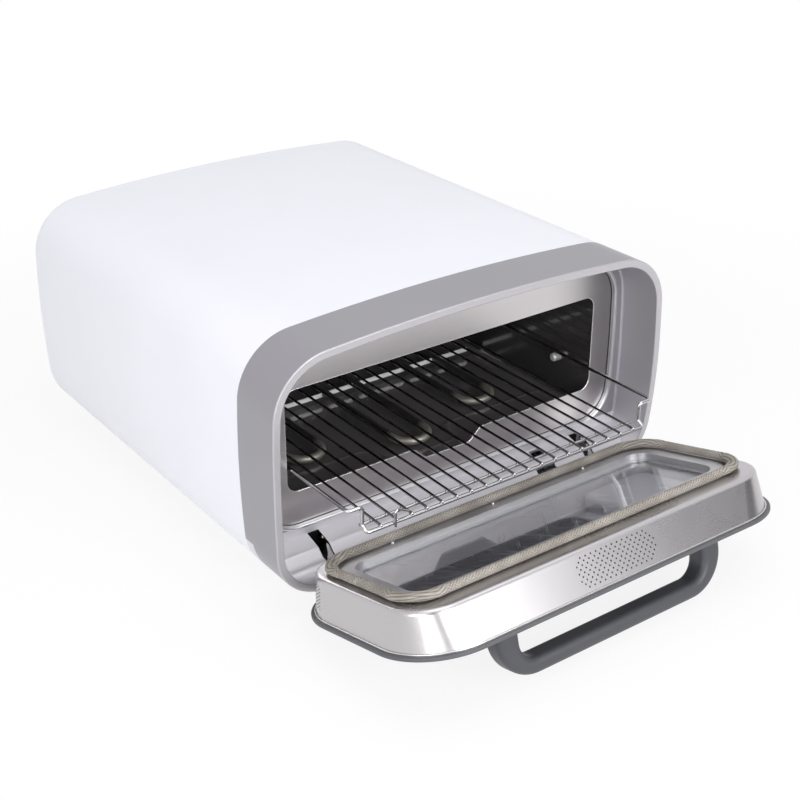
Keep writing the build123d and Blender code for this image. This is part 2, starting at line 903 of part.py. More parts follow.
def knob_places():
    """The height of each knob on the door: the temperature knob, then the timer knob."""
    return control_v + knob_spread_v, control_v - knob_spread_v


def door_rod(x, v, radius, w_start, w_end):
    """A rod square to the door, from depth w_start to w_end."""
    return rod_y(x, door_mid_z + v, radius, door_front_y + w_start, door_front_y + w_end)


def handle_leg_x():
    """The middle of a handle leg."""
    return (handle_width - handle_leg) / 2


def outer_glass():
    """Smoked pane in the outer skin's rebate."""
    grow = 2 * (outer_glass_rebate - fit_gap)
    return door_slab(
        outer_window_width + grow,
        outer_window_height + grow,
        outer_window_r + outer_glass_rebate - fit_gap,
        door_skin / 2,
        door_skin / 2 + outer_glass_wall,
        outer_window_x,
    )


def pan_solid(inset, low_w, high_w):
    """The pan's tapered block, drawn in by inset."""
    sections = []
    for width, height, corner_r, w in (
        (pan_base_width, pan_base_height, pan_base_r, door_skin),
        (pan_top_width, pan_top_height, pan_top_r, pan_top_w),
    ):
        face = Plane.XZ * RectangleRounded(width - 2 * inset, height - 2 * inset, corner_r - inset)
        sections.append(Pos(0, door_front_y + w, door_mid_z) * face)
    solid = loft(sections, ruled=True)
    keep = door_slab(body_width, body_height, 1.0, low_w, high_w)
    return solid & keep


def door_inner_pan():
    """Brushed drafted pan on the inside of the door, hemmed, perforated and open under the window frame."""
    pan = pan_solid(0, door_skin, pan_top_w)
    top = [e for e in pan.edges() if e.bounding_box().min.Y > door_front_y + pan_top_w - 0.01]
    pan = fillet(top, pan_shoulder_r)
    inner = pan_solid(pan_wall, door_skin - 1, pan_top_w - pan_wall)
    inner_top = inner.edges().group_by(Axis.Y)[-1]
    inner = fillet(inner_top, pan_shoulder_r - pan_wall)
    hem = door_slab(
        pan_base_width + 2 * hem_width,
        pan_base_height + 2 * hem_width,
        pan_base_r + hem_width,
        door_skin,
        door_skin + pan_wall,
    )
    pan = pan + hem - inner
    pan -= door_slab(
        window_width + 2 * frame_band - 2,
        window_height + 2 * frame_band - 2,
        window_corner_r + frame_band - 1,
        pan_top_w - 5,
        pan_top_w + 5,
        v=-gasket_drop,
    )
    for side in SIDES.values():
        x_range = sorted((side * (arm_inner_x - fit_gap), side * (arm_inner_x + arm_width + fit_gap)))
        foot = door_mid_z - pan_base_height / 2
        y_range = (door_front_y + door_skin - 1, hinge_y + arm_neck / 2 + fit_gap)
        pan -= block(x_range, y_range, (foot - 10, foot + 14))
    return pan - vent_holes()


def vent_holes():
    """Staggered round holes: a broad patch in the free edge's wall and a narrow one in each short wall."""
    holes = []
    step = vent_pitch / 2
    top_v = pan_base_height / 2
    for row in range(vent_rows):
        w = (row - (vent_rows - 1) / 2) * step
        for column in range(vent_columns):
            x = (column - (vent_columns - 1) / 2 + 0.5 * (row % 2)) * vent_pitch
            if in_rounded_patch(x, w, vent_patch_width / 2, vent_patch_height / 2, vent_patch_r):
                z = door_mid_z + top_v
                y = door_front_y + vent_mid_w + w
                holes.append(rod_z(vent_mid_x + x, y, vent_hole_r, z - 16, z + 2))
    for row in range(side_vent_rows):
        for column in range(side_vent_columns):
            v = side_vent_margin - pan_base_height / 2 + (column - (side_vent_columns - 1) / 2) * step
            w = vent_mid_w + (row - (side_vent_rows - 1) / 2 + 0.5 * (column % 2)) * step
            half = pan_base_width / 2
            for low, high in ((-half - 2, -half + 12), (half - 12, half + 2)):
                holes.append(rod_x(door_front_y + w, door_mid_z + v, vent_hole_r, low, high))
    return holes


def in_rounded_patch(x, y, half_width, half_height, corner_r):
    """Whether a point lies in a rounded rectangle about the origin."""
    dx = abs(x) - (half_width - corner_r)
    dy = abs(y) - (half_height - corner_r)
    if abs(x) > half_width or abs(y) > half_height:
        return False
    return dx < 0 or dy < 0 or math.hypot(dx, dy) <= corner_r


def window_frame():
    """Stepped bright frame: a flange on the pan, a wall down to the glass and a ledge that holds it."""
    band = frame_band
    top = pan_top_w + frame_wall
    ledge_w = pan_top_w - frame_step
    frame = window_slab(2 * band, band, pan_top_w, top)
    frame += window_slab(2 * frame_wall, frame_wall, ledge_w, top)
    frame -= window_slab(0, 0, ledge_w + frame_wall, top + 1)
    return frame - window_slab(-2 * frame_ledge, -frame_ledge, ledge_w - 1, top)


def window_slab(grow, grow_r, w_start, w_end):
    """The inner window's outline, grown as asked, as a slab of the door."""
    return door_slab(
        window_width + grow, window_height + grow, window_corner_r + grow_r, w_start, w_end, v=-gasket_drop
    )


def inner_glass():
    """Clear toughened pane under the frame's ledge."""
    top = pan_top_w - frame_step
    return window_slab(-2 * fit_gap, -fit_gap, top - inner_glass_wall, top)


def glass_rest_w():
    """The depth of the inner glass's outer side."""
    return pan_top_w - frame_step - inner_glass_wall


def core_floor_w():
    """The depth at which the core's floor starts, just inside the outer skin."""
    return door_skin + fit_gap


def door_core():
    """Pale moulded tunnel between the two panes, with a floor that frames the outer pane."""
    low, high = core_floor_w(), glass_rest_w()
    core = window_slab(2 * frame_wall, frame_wall, low, high)
    core -= window_slab(-2 * core_wall, -core_wall, low + core_floor_wall, high + 1)
    grow = 2 * outer_glass_rebate
    core -= door_slab(
        outer_window_width + grow,
        outer_window_height + grow,
        outer_window_r + outer_glass_rebate,
        low - 1,
        high,
        outer_window_x,
    )
    for v in knob_places():
        core -= door_rod(control_x, v, spindle_r + 1, low - 1, high)
    core -= door_rod(control_x, control_v, button_r + button_flange + fit_gap, low - 1, high)
    return core


def control_housing():
    """Rounded cover over the control board, with four posts for the board."""
    low = core_floor_w() + core_floor_wall
    high = low + housing_depth
    cover = door_slab(housing_width, housing_height, housing_r, low, high, control_x, control_v)
    cover = fillet(cover.edges().group_by(Axis.Y)[-1], housing_edge_r)
    cover -= door_slab(
        housing_width - 2 * housing_wall,
        housing_height - 2 * housing_wall,
        housing_r - housing_wall,
        low - 1,
        high - housing_wall,
        control_x,
        control_v,
    )
    for x in (-1, 1):
        for v in (-1, 1):
            cover += door_rod(
                control_x + x * (housing_width / 2 - housing_r),
                control_v + v * (housing_height / 2 - housing_r),
                post_r,
                high - housing_wall - board_post,
                high - housing_wall,
            )
    return cover


def board_top_w():
    """The depth of the control board's inner side, where the posts meet it."""
    return core_floor_w() + core_floor_wall + housing_depth - housing_wall - board_post


def control_board():
    """Board with a rotary control behind each knob and a switch behind the button."""
    top = board_top_w()
    low = core_floor_w() + core_floor_wall + fit_gap
    inset = 2 * (housing_wall + fit_gap)
    board = door_slab(
        housing_width - inset,
        housing_height - inset,
        housing_r - housing_wall - fit_gap,
        top - board_wall,
        top,
        control_x,
        control_v,
    )
    for v in knob_places():
        board += door_slab(pot_size, pot_size, 1, low, top - board_wall, control_x, v)
        board -= door_rod(control_x, v, spindle_r + running_gap, low - 1, top - board_wall - 1)
    low = button_end_w() + button_travel + fit_gap
    return board + door_slab(switch_size, switch_size, 1, low, top - board_wall, control_x, control_v)


def button_end_w():
    """The depth of the button's inner end when it isn't pressed."""
    return board_top_w() - board_wall - button_switch_gap - button_travel


def door_button():
    """Domed push button with a flange that keeps it behind the skin."""
    cap = door_rod(control_x, control_v, button_r, -button_rise, door_skin + fit_gap)
    cap = fillet(cap.edges().group_by(Axis.Y)[:1], button_edge_r)
    start = door_skin + fit_gap
    flange = door_rod(control_x, control_v, button_r + button_flange, start, start + button_flange_wall)
    return cap + flange + door_rod(control_x, control_v, button_r / 2, start, button_end_w())


def knob(v):
    """Knob with a tapered, fluted grip, a pointer ridge and its spindle."""
    face_w = -knob_gap
    neck_w = face_w - knob_skirt
    top_w = face_w - knob_height
    skirt = door_rod(control_x, v, knob_r, neck_w, face_w)
    grip_face = Plane.XZ * Circle(knob_r - knob_skirt_lip)
    tip_face = Plane.XZ * Circle(knob_r - knob_skirt_lip - knob_taper)
    z = door_mid_z + v
    grip = loft(
        [
            Pos(control_x, door_front_y + neck_w, z) * grip_face,
            Pos(control_x, door_front_y + top_w, z) * tip_face,
        ]
    )
    grip = fillet(grip.edges().group_by(Axis.Y)[:1], knob_edge_r)
    body = skirt + grip
    for i in range(knob_flutes):
        angle = 2 * math.pi * (i + 0.5) / knob_flutes
        x = control_x + knob_r * math.cos(angle)
        body -= door_rod(x, v + knob_r * math.sin(angle), flute_r, top_w - 1, neck_w)
    ridge = block(
        (control_x - pointer_half, control_x + pointer_half),
        (door_front_y + top_w - pointer_rise, door_front_y + top_w + 1),
        (z + pointer_inner, z + knob_r - pointer_outer),
    )
    end_w = board_top_w() - board_wall - spindle_end_gap
    return body + ridge + door_rod(control_x, v, spindle_r, face_w, end_w)


def door_gasket():
    """Braided tube that lies on the pan round the window."""
    y = door_front_y + pan_top_w + gasket_seat + gasket_r
    outline = Plane.XZ * RectangleRounded(gasket_width, gasket_height, gasket_corner_r)
    path = (Pos(0, y, door_mid_z - gasket_drop) * outline).wire()
    return sweep(Plane(path @ 0, z_dir=path % 0) * Circle(gasket_r), path=path)


def gasket_clip_places():
    """Where the clips hold the gasket, as x and v."""
    low = -gasket_drop - gasket_height / 2
    high = low + gasket_height
    return [(x, low) for x in clip_low_x] + [(x, high) for x in clip_high_x]


def gasket_clips():
    """Small bright studs beside the gasket, heads down on the pan."""
    studs = []
    for x, v in gasket_clip_places():
        inward = 1 if v < 0 else -1
        mid = v + inward * (gasket_r + clip_r + fit_gap)
        stud = door_rod(x, mid, clip_r, pan_top_w + frame_wall, pan_top_w + frame_wall + clip_rise)
        studs.append(fillet(stud.edges().group_by(Axis.Y)[-1], clip_rise * 0.6))
    return studs


def door_handle():
    """U-shaped bar across the outer face, rounded all along."""
    half = handle_width / 2
    gap = half - handle_leg
    y = door_front_y
    outer = FilletPolyline(
        (-half, y), (-half, y - handle_reach), (half, y - handle_reach), (half, y), radius=handle_outer_r
    )
    inner_y = y - handle_reach + handle_bar
    inner = FilletPolyline((gap, y), (gap, inner_y), (-gap, inner_y), (-gap, y), radius=handle_inner_r)
    feet = [Line((half, y), (gap, y)), Line((-gap, y), (-half, y))]
    face = make_face([outer, inner] + feet)
    low = door_mid_z + handle_mid_v - handle_band / 2
    handle = Pos(0, 0, low) * extrude(face, amount=handle_band)
    rims = [e for e in handle.edges() if e.bounding_box().size.Z < 0.01 and e.bounding_box().min.Y < y - 1]
    handle = fillet(rims, handle_edge_r)
    for side in SIDES.values():
        handle -= door_rod(side * handle_leg_x(), handle_mid_v, screw_r + running_gap, -screw_grip, 1)
    return handle


def handle_screws():
    """Screws from inside the door into the handle's legs."""
    screws = []
    for side in SIDES.values():
        x = side * handle_leg_x()
        shank = door_rod(x, handle_mid_v, screw_r, -screw_grip, door_skin)
        head = door_rod(x, handle_mid_v, screw_head_r, door_skin, door_skin + screw_head_height)
        screws.append(shank + fillet(head.edges().group_by(Axis.Y)[-1], 1.0))
    return screws


def hinge_arm(side):
    """Arm from the hinge pin into the pan, ending in a foot on the outer skin."""
    skin_y = door_front_y + door_skin
    base_z = door_mid_z - pan_base_height / 2
    neck_rear = hinge_y + arm_neck / 2
    outline = [
        (neck_rear, hinge_z),
        (neck_rear - 2, base_z + arm_foot_height),
        (skin_y, base_z + arm_foot_height),
        (skin_y, base_z + arm_neck / 2),
        (hinge_y - arm_neck / 2, base_z - 3),
        (hinge_y - arm_neck / 2, hinge_z),
    ]
    low, high = sorted((side * arm_inner_x, side * (arm_inner_x + arm_width)))
    arm = prism_x(outline, low, high) + rod_x(hinge_y, hinge_z, arm_boss_r, low, high)
    middle = (low + high) / 2
    reach = arm_width / 2 + arm_foot_wall
    foot = block(
        (middle - reach, middle + reach),
        (skin_y, skin_y + arm_foot_wall),
        (base_z + arm_neck, base_z + arm_foot_height),
    )
    return arm + foot - rod_x(hinge_y, hinge_z, pin_r + running_gap, low - 1, high + 1)


def cheek_ranges(side):
    """The x ranges of the two cheeks beside one arm."""
    inner = arm_inner_x - cheek_gap
    outer = arm_inner_x + arm_width + cheek_gap
    ranges = []
    for low, high in ((inner - cheek_wall, inner), (outer, outer + cheek_wall)):
        ranges.append(sorted((side * low, side * high)))
    return ranges


def hinge_bracket(side):
    """Folded bracket under the sill: a base and two cheeks with the pin's holes."""
    inner = arm_inner_x - cheek_gap - cheek_wall
    outer = arm_inner_x + arm_width + cheek_gap + cheek_wall
    bracket = block(
        sorted((side * inner, side * outer)),
        (hinge_y - cheek_r, hinge_y + cheek_r + bracket_tail),
        (hinge_floor_z, hinge_floor_z + bracket_wall),
    )
    for low, high in cheek_ranges(side):
        bracket += rod_x(hinge_y, hinge_z, cheek_r, low, high) & block(
            (low, high), (0, ring_depth), (hinge_floor_z, body_height)
        )
        bracket += block((low, high), (hinge_y - cheek_r, hinge_y + cheek_r), (hinge_floor_z, hinge_z))
        bracket -= rod_x(hinge_y, hinge_z, pin_r, low - 1, high + 1)
    return bracket


def hinge_pin(side):
    """Pin through the cheeks and the arm, as long as the bracket is wide."""
    inner = arm_inner_x - cheek_gap - cheek_wall
    outer = arm_inner_x + arm_width + cheek_gap + cheek_wall
    low, high = sorted((side * inner, side * outer))
    return rod_x(hinge_y, hinge_z, pin_r, low, high)


def door_switch():
    """Dark switch under the sill with the tab that the closing door passes."""
    low, high = latch_x - latch_width / 2, latch_x + latch_width / 2
    floor = sill_skin + top_crown * (high / (body_width / 2 - side_crown)) ** 2 + fit_gap
    body = block((low, high), (latch_front_y, latch_body_rear_y), (floor, hinge_z + latch_tab / 2))
    return body + block((low, high), (latch_front_y, latch_front_y + latch_tab), (floor, latch_top_z))


def rack_hook():
    """Wire hook in front of the front bar: a leg that stands up and a slope down to the next wire."""
    x = hook_from_side - drop_half_width
    y = end_bar_places()[0]
    front = y - rail_r - hook_r - weld_gap
    rest = rack_bar_z + rail_r + 2 * wire_r + hook_r + 3 * weld_gap
    path = FilletPolyline(
        (x, front, rack_bar_z - hook_foot),
        (x, front, rack_bar_z + hook_height),
        (x + hook_span, y + hook_r, rest),
        radius=2.5 * hook_r,
    )
    return swept_wire(path, hook_r)


def foot_places():
    """The middle of each foot, as x and y."""
    return [(side * foot_x, y) for y in (foot_y_front, foot_y_rear) for side in SIDES.values()]


def foot(x, y):
    """Rubber foot with a tapered side and a screw recess, shaped to the body's underside."""
    column = rod_z(x, y, foot_r, -foot_height, foot_seat)
    column = fillet(column.edges().group_by(Axis.Z)[0], 2)
    column -= body_slab(-fit_gap, y - 2 * foot_r, y + 2 * foot_r)
    column -= rod_z(x, y, foot_recess_r, -foot_height - 1, -foot_height + foot_recess)
    return column - rod_z(x, y, screw_r + running_gap, -foot_screw_grip, foot_seat)


def foot_screws():
    """Screws from the rails through the shell into the feet."""
    screws = []
    seat = rail_low_z + rail_wall
    for x, y in foot_places():
        head = rod_z(x, y, screw_head_r, seat, seat + screw_head_height)
        screws.append(rod_z(x, y, screw_r, -foot_screw_grip, seat) + head)
    return screws


def chassis_rail(side):
    """Channel from front to rear under the blanket, which carries the liner and takes the feet's screws."""
    high = cavity_floor_z - liner_wall - fit_gap - blanket_wall - fit_gap
    start = ring_depth + tongue_length + fit_gap
    end = foot_y_rear + rail_width
    inner, outer = side * (foot_x - rail_width / 2), side * (foot_x + rail_width / 2)
    web = sorted((inner, inner + side * rail_wall))
    rail = block(web, (start, end), (rail_low_z, high))
    for low in (rail_low_z, high - rail_wall):
        rail += block(sorted((inner, outer)), (start, end), (low, low + rail_wall))
    for y in (foot_y_front, foot_y_rear):
        rail -= rod_z(side * foot_x, y, screw_r + running_gap, rail_low_z - 1, rail_low_z + rail_wall + 1)
    return rail


def fan_housing():
    """Square frame on the rear panel with a hub on four struts."""
    start = rear_panel_y - fan_depth
    frame = rounded_slab(fan_size, fan_size, fan_corner_r, start, rear_panel_y, fan_x, fan_z)
    frame -= rod_y(fan_x, fan_z, fan_bore_r, start - 1, rear_panel_y + 1)
    for angle in (45, 135):
        strut = Rot(0, angle, 0) * Box(2 * fan_bore_r + 2, fan_strut_depth, fan_strut_width)
        frame += Pos(fan_x, start + fan_strut_depth / 2, fan_z) * strut
    end = start + fan_strut_depth
    frame += rod_y(fan_x, fan_z, fan_hub_r, start, end)
    return frame - rod_y(fan_x, fan_z, fan_shaft_r + running_gap, start - 1, end + 1)


def fan_rotor():
    """Hub, blades and shaft of the cooling fan."""
    front = rear_panel_y - fan_depth
    start = front + fan_strut_depth + fan_end_gap
    end = rear_panel_y - fan_rear_gap
    depth = end - start
    rotor = rod_y(fan_x, fan_z, fan_hub_r, start, end)
    tip = fan_bore_r - fan_tip_gap
    for i in range(fan_blade_count):
        reach = tip - fan_hub_r + 2
        blade = Box(reach, fan_blade_wall, depth * 1.1)
        blade = Rot(90 - fan_blade_tilt, 0, 0) * blade
        blade = Pos(fan_hub_r - 2 + reach / 2, 0, 0) * blade
        blade = Rot(0, 360 * i / fan_blade_count, 0) * blade
        rotor += Pos(fan_x, (start + end) / 2, fan_z) * blade
    rotor &= rod_y(fan_x, fan_z, tip, start, end)
    return rotor + rod_y(fan_x, fan_z, fan_shaft_r, front, start)


def power_board():
    """Board on four standoffs on the rear panel, with two relays, a transformer and a terminal row."""
    board_y = rear_panel_y - standoff_length
    x, z = -fan_x, fan_z
    board = rounded_slab(
        power_board_width, power_board_height, power_board_r, board_y - board_wall, board_y, x, z
    )
    for dx in (-1, 1):
        for dz in (-1, 1):
            px = x + dx * (power_board_width / 2 - standoff_inset)
            pz = z + dz * (power_board_height / 2 - standoff_inset)
            board += rod_y(px, pz, standoff_r, board_y, rear_panel_y)
    left = x - power_board_width / 2 + 1.5 * standoff_inset
    right = x + power_board_width / 2 - 2.5 * standoff_inset
    relay_z = relay_size[1] / 2 + standoff_r
    board += board_part(relay_size, left + relay_size[0] / 2, z - relay_z)
    board += board_part(relay_size, left + relay_size[0] / 2, z + relay_z)
    board += board_part(transformer_size, x, z)
    return board + board_part(terminal_row_size, right - terminal_row_size[0] / 2, z)


def board_part(size, x, z):
    """A block on the power board's inner face. Its size is width, height and depth."""
    width, height, depth = size
    face = rear_panel_y - standoff_length - board_wall
    return block((x - width / 2, x + width / 2), (face - depth, face), (z - height / 2, z + height / 2))


def cord_gland():
    """Bushing through the rear panel: a rounded flange outside, a nut inside and the cord's bore."""
    outside = rear_panel_y + rear_panel_wall
    flange = rod_y(gland_x, gland_z, gland_flange_r, outside, outside + gland_flange)
    flange = fillet(flange.edges().group_by(Axis.Y)[-1], gland_edge_r)
    gland = flange + rod_y(gland_x, gland_z, gland_r, outside + gland_flange - gland_length, outside)
    nut = Plane.XZ * RegularPolygon(gland_flange_r, 6)
    nut = extrude(Pos(gland_x, rear_panel_y - gland_nut, gland_z) * nut, amount=gland_nut, dir=(0, 1, 0))
    gland += nut
    start, end = outside - gland_length - 1, body_depth + gland_length
    return gland - rod_y(gland_x, gland_z, gland_bore_r, start, end)


def as_list(shape):
    """The solids of what a function gave back."""
    found = []
    for item in shape if isinstance(shape, (list, tuple)) else [shape]:
        found += item.solids()
    return found


def oven_pieces():
    """The pieces that stand still."""
    pieces = {
        "outer_shell": outer_shell(),
        "rear_panel": rear_panel(),
        "rear_panel_screws": rear_panel_screws(),
        "front_ring": front_ring(),
        "front_panel": front_panel(),
        "cavity_liner": cavity_liner(),
        "insulation_blanket": insulation_blanket(),
        "rack_pegs": rack_pegs(),
        "tube_supports": tube_supports(),
        "tube_terminals": tube_terminals(),
        "temperature_probe": temperature_probe(),
        "thermal_cutout": thermal_cutout(),
        "door_switch": door_switch(),
        "fan_housing": fan_housing(),
        "fan_rotor": fan_rotor(),
        "power_board": power_board(),
        "cord_gland": cord_gland(),
        "foot_screws": foot_screws(),
    }
    for name, (x, front) in tube_places().items():
        pieces["lower_tube_" + name] = heating_tube(x, front, lower_tube_z)
        pieces["upper_tube_" + name] = heating_tube(x, front, upper_tube_z)
    for name, side in SIDES.items():
        pieces["hinge_bracket_" + name] = hinge_bracket(side)
        pieces["hinge_pin_" + name] = hinge_pin(side)
        pieces["chassis_rail_" + name] = chassis_rail(side)
        pieces["front_foot_" + name] = foot(side * foot_x, foot_y_front)
        pieces["rear_foot_" + name] = foot(side * foot_x, foot_y_rear)
    return pieces


def door_pieces():
    """The pieces that swing with the door, drawn closed."""
    pieces = {
        "door_outer_panel": door_outer_panel(),
        "outer_glass": outer_glass(),
        "door_inner_pan": door_inner_pan(),
        "window_frame": window_frame(),
        "inner_glass": inner_glass(),
        "door_core": door_core(),
        "door_gasket": door_gasket(),
        "gasket_clips": gasket_clips(),
        "door_handle": door_handle(),
        "handle_screws": handle_screws(),
        "control_housing": control_housing(),
        "control_board": control_board(),
        "temperature_knob": knob(knob_places()[0]),
        "timer_knob": knob(knob_places()[1]),
        "start_button": door_button(),
    }
    for name, side in SIDES.items():
        pieces["hinge_arm_" + name] = hinge_arm(side)
    return pieces


def rack_pieces():
    """The pieces of the drawn-out rack."""
    return {
        "rack_frame": rack_frame(),
        "rack_wires": rack_wires(),
        "rack_cross_bars": rack_cross_bars(),
        "rack_hook": rack_hook(),
    }


def main():
    """Builds the pieces, opens the door, moves the origin and writes the files."""
    os.makedirs("parts", exist_ok=True)
    pieces = {name: as_list(shape) for name, shape in oven_pieces().items()}
    for name, shape in door_pieces().items():
        pieces[name] = [s.rotate(hinge_axis, open_angle) for s in as_list(shape)]
    pieces.update({name: as_list(shape) for name, shape in rack_pieces().items()})
    boxes = [s.bounding_box() for solids in pieces.values() for s in solids]
    low = [min(getattr(b.min, a) for b in boxes) for a in "XYZ"]
    high = [max(getattr(b.max, a) for b in boxes) for a in "XYZ"]
    shift = Vector(-(low[0] + high[0]) / 2, -(low[1] + high[1]) / 2, -low[2])
    print("shift", [round(v, 4) for v in shift], "size", [round(h - l, 3) for l, h in zip(low, high)])
    for name, solids in pieces.items():
        moved = [Location(shift) * s for s in solids]
        export_step(moved[0] if len(moved) == 1 else Compound(children=moved), f"parts/{name}.step")


if __name__ == "__main__":
    main()
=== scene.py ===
"""Looks of a countertop electric pizza oven with its door open and its rack drawn out.

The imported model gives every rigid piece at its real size. This script gives each of them its finish, adds the
pieces that only looks need, and sets up the studio and the camera. Lengths are in metres, except where a class
holds the drawing's sizes in millimetres. The drawing's own origin lies at the ring's front edge, under the body's
middle, and Datum turns a point of it into the model's frame.
"""

from __future__ import annotations

import json
import logging
import math
from dataclasses import dataclass
from enum import Enum
from typing import Callable, Protocol, Sequence

import bmesh
import bpy
import numpy as np
from mathutils import Matrix, Vector

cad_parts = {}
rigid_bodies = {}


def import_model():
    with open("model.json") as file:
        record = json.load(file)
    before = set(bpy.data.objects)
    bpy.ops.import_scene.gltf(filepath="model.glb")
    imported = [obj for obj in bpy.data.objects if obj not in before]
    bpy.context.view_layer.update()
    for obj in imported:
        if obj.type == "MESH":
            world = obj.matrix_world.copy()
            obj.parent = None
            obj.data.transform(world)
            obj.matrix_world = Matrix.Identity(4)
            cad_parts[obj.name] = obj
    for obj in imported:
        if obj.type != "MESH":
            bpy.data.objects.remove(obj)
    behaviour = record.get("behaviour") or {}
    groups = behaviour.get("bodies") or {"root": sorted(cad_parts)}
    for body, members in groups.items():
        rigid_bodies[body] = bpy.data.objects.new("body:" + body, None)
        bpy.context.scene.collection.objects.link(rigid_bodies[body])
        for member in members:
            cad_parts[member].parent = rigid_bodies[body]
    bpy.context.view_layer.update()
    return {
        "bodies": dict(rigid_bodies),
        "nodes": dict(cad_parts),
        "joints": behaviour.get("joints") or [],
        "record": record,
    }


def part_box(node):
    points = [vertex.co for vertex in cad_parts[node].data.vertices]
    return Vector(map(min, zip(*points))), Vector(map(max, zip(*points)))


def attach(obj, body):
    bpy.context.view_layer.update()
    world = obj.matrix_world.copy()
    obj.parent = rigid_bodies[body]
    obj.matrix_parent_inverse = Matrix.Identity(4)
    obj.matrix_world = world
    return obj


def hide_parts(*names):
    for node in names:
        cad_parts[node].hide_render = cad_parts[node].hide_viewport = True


logging.basicConfig(level=logging.INFO, format="%(levelname)s %(message)s")
LOG = logging.getLogger("pizza_oven")

Array = np.ndarray
Colour = tuple[float, float, float]
Triple = tuple[float, float, float]
Pair = tuple[float, float]
MM = 0.001
FULL_TURN = 2 * math.pi
SIDES = ("left", "middle", "right")


class Carrier(Enum):
    """The moving bodies that a new piece can ride on."""

    OVEN = "oven"
    DOOR = "door"
    RACK = "rack"


class Depth(Enum):
    """How deep a finish's relief goes, in metres."""

    HAIRLINE = 0.0001
    GRAIN = 0.0002
    PEEL = 0.0003
    FELT = 0.0004
    YARN = 0.0005
    WAVE = 0.0006


@dataclass(frozen=True)
class Datum:
    """The drawing's origin in the model's frame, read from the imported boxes."""

    front: float
    underside: float

    @classmethod
    def read(cls) -> "Datum":
        """Reads where the ring's front and the body's underside lie."""
        return cls(front=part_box("front_ring")[0][1], underside=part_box("outer_shell")[0][2])

    def spread(self, x: Array | float, y: Array | float, z: Array | float) -> Array:
        """Turns points of the drawing, one or whole arrays, into the model's frame.

        Args:
            x: Millimetres to the right of the middle, of any shape.
            y: Millimetres behind the ring's front.
            z: Millimetres above the body's underside.

        Returns:
            The points in metres, with one more axis at the end.
        """
        x, y, z = np.broadcast_arrays(x, y, z)
        return np.stack([x * MM, self.front + y * MM, self.underside + z * MM], axis=-1)


@dataclass(frozen=True)
class Leaf:
    """The door's own frame, swung open about its hinge.

    A point of the closed door stands at (x, front + w, middle + v). Opening turns its offset from the hinge axis by
    the open angle: y becomes y cos - z sin, and z becomes y sin + z cos.
    """

    datum: Datum
    front: float = 2.8
    middle: float = 137.0
    hinge: Pair = (22.3, 18.2)
    opened: float = math.radians(74.77)

    def spread(self, x: Array, v: Array, w: Array) -> Array:
        """Turns points of the door into the model's frame.

        Args:
            x: Millimetres to the right.
            v: Millimetres up from the closed door's middle.
            w: Millimetres inwards from the door's outer face.

        Returns:
            The points in metres, with one more axis at the end.
        """
        y, z = self.front + w - self.hinge[0], self.middle + v - self.hinge[1]
        cosine, sine = math.cos(self.opened), math.sin(self.opened)
        return self.datum.spread(x, self.hinge[0] + y * cosine - z * sine, self.hinge[1] + y * sine + z * cosine)


def circle_through(a: Array, b: Array, c: Array) -> tuple[Array, float]:
    """The circle through three points.

    The centre is equally far from all three, which gives two linear equations: twice (b - a) times the centre is
    b squared less a squared, and the same with c.

    Args:
        a: First point.
        b: Second point.
        c: Third point.

    Returns:
        The centre and the radius.
    """
    rows = 2 * np.array([b - a, c - a])
    centre = np.linalg.solve(rows, np.array([b @ b - a @ a, c @ c - a @ a]))
    return centre, float(np.linalg.norm(a - centre))


def arc(centre: Array, start: Array, end: Array, count: int = 60) -> Array:
    """Points along a circle, from start the shorter way round to end, without the end itself.

    Each point is the centre plus the radius times (cosine, sine) of an angle that grows evenly.

    Args:
        centre: The circle's centre.
        start: A point on it.
        end: Another point on it.
        count: How many points.

    Returns:
        The points, count by 2.
    """
    first = math.atan2(*(start - centre)[::-1])
    sweep = (math.atan2(*(end - centre)[::-1]) - first + math.pi) % FULL_TURN - math.pi
    angle = first + sweep * np.arange(count) / count
    return centre + np.linalg.norm(start - centre) * np.stack([np.cos(angle), np.sin(angle)], axis=-1)


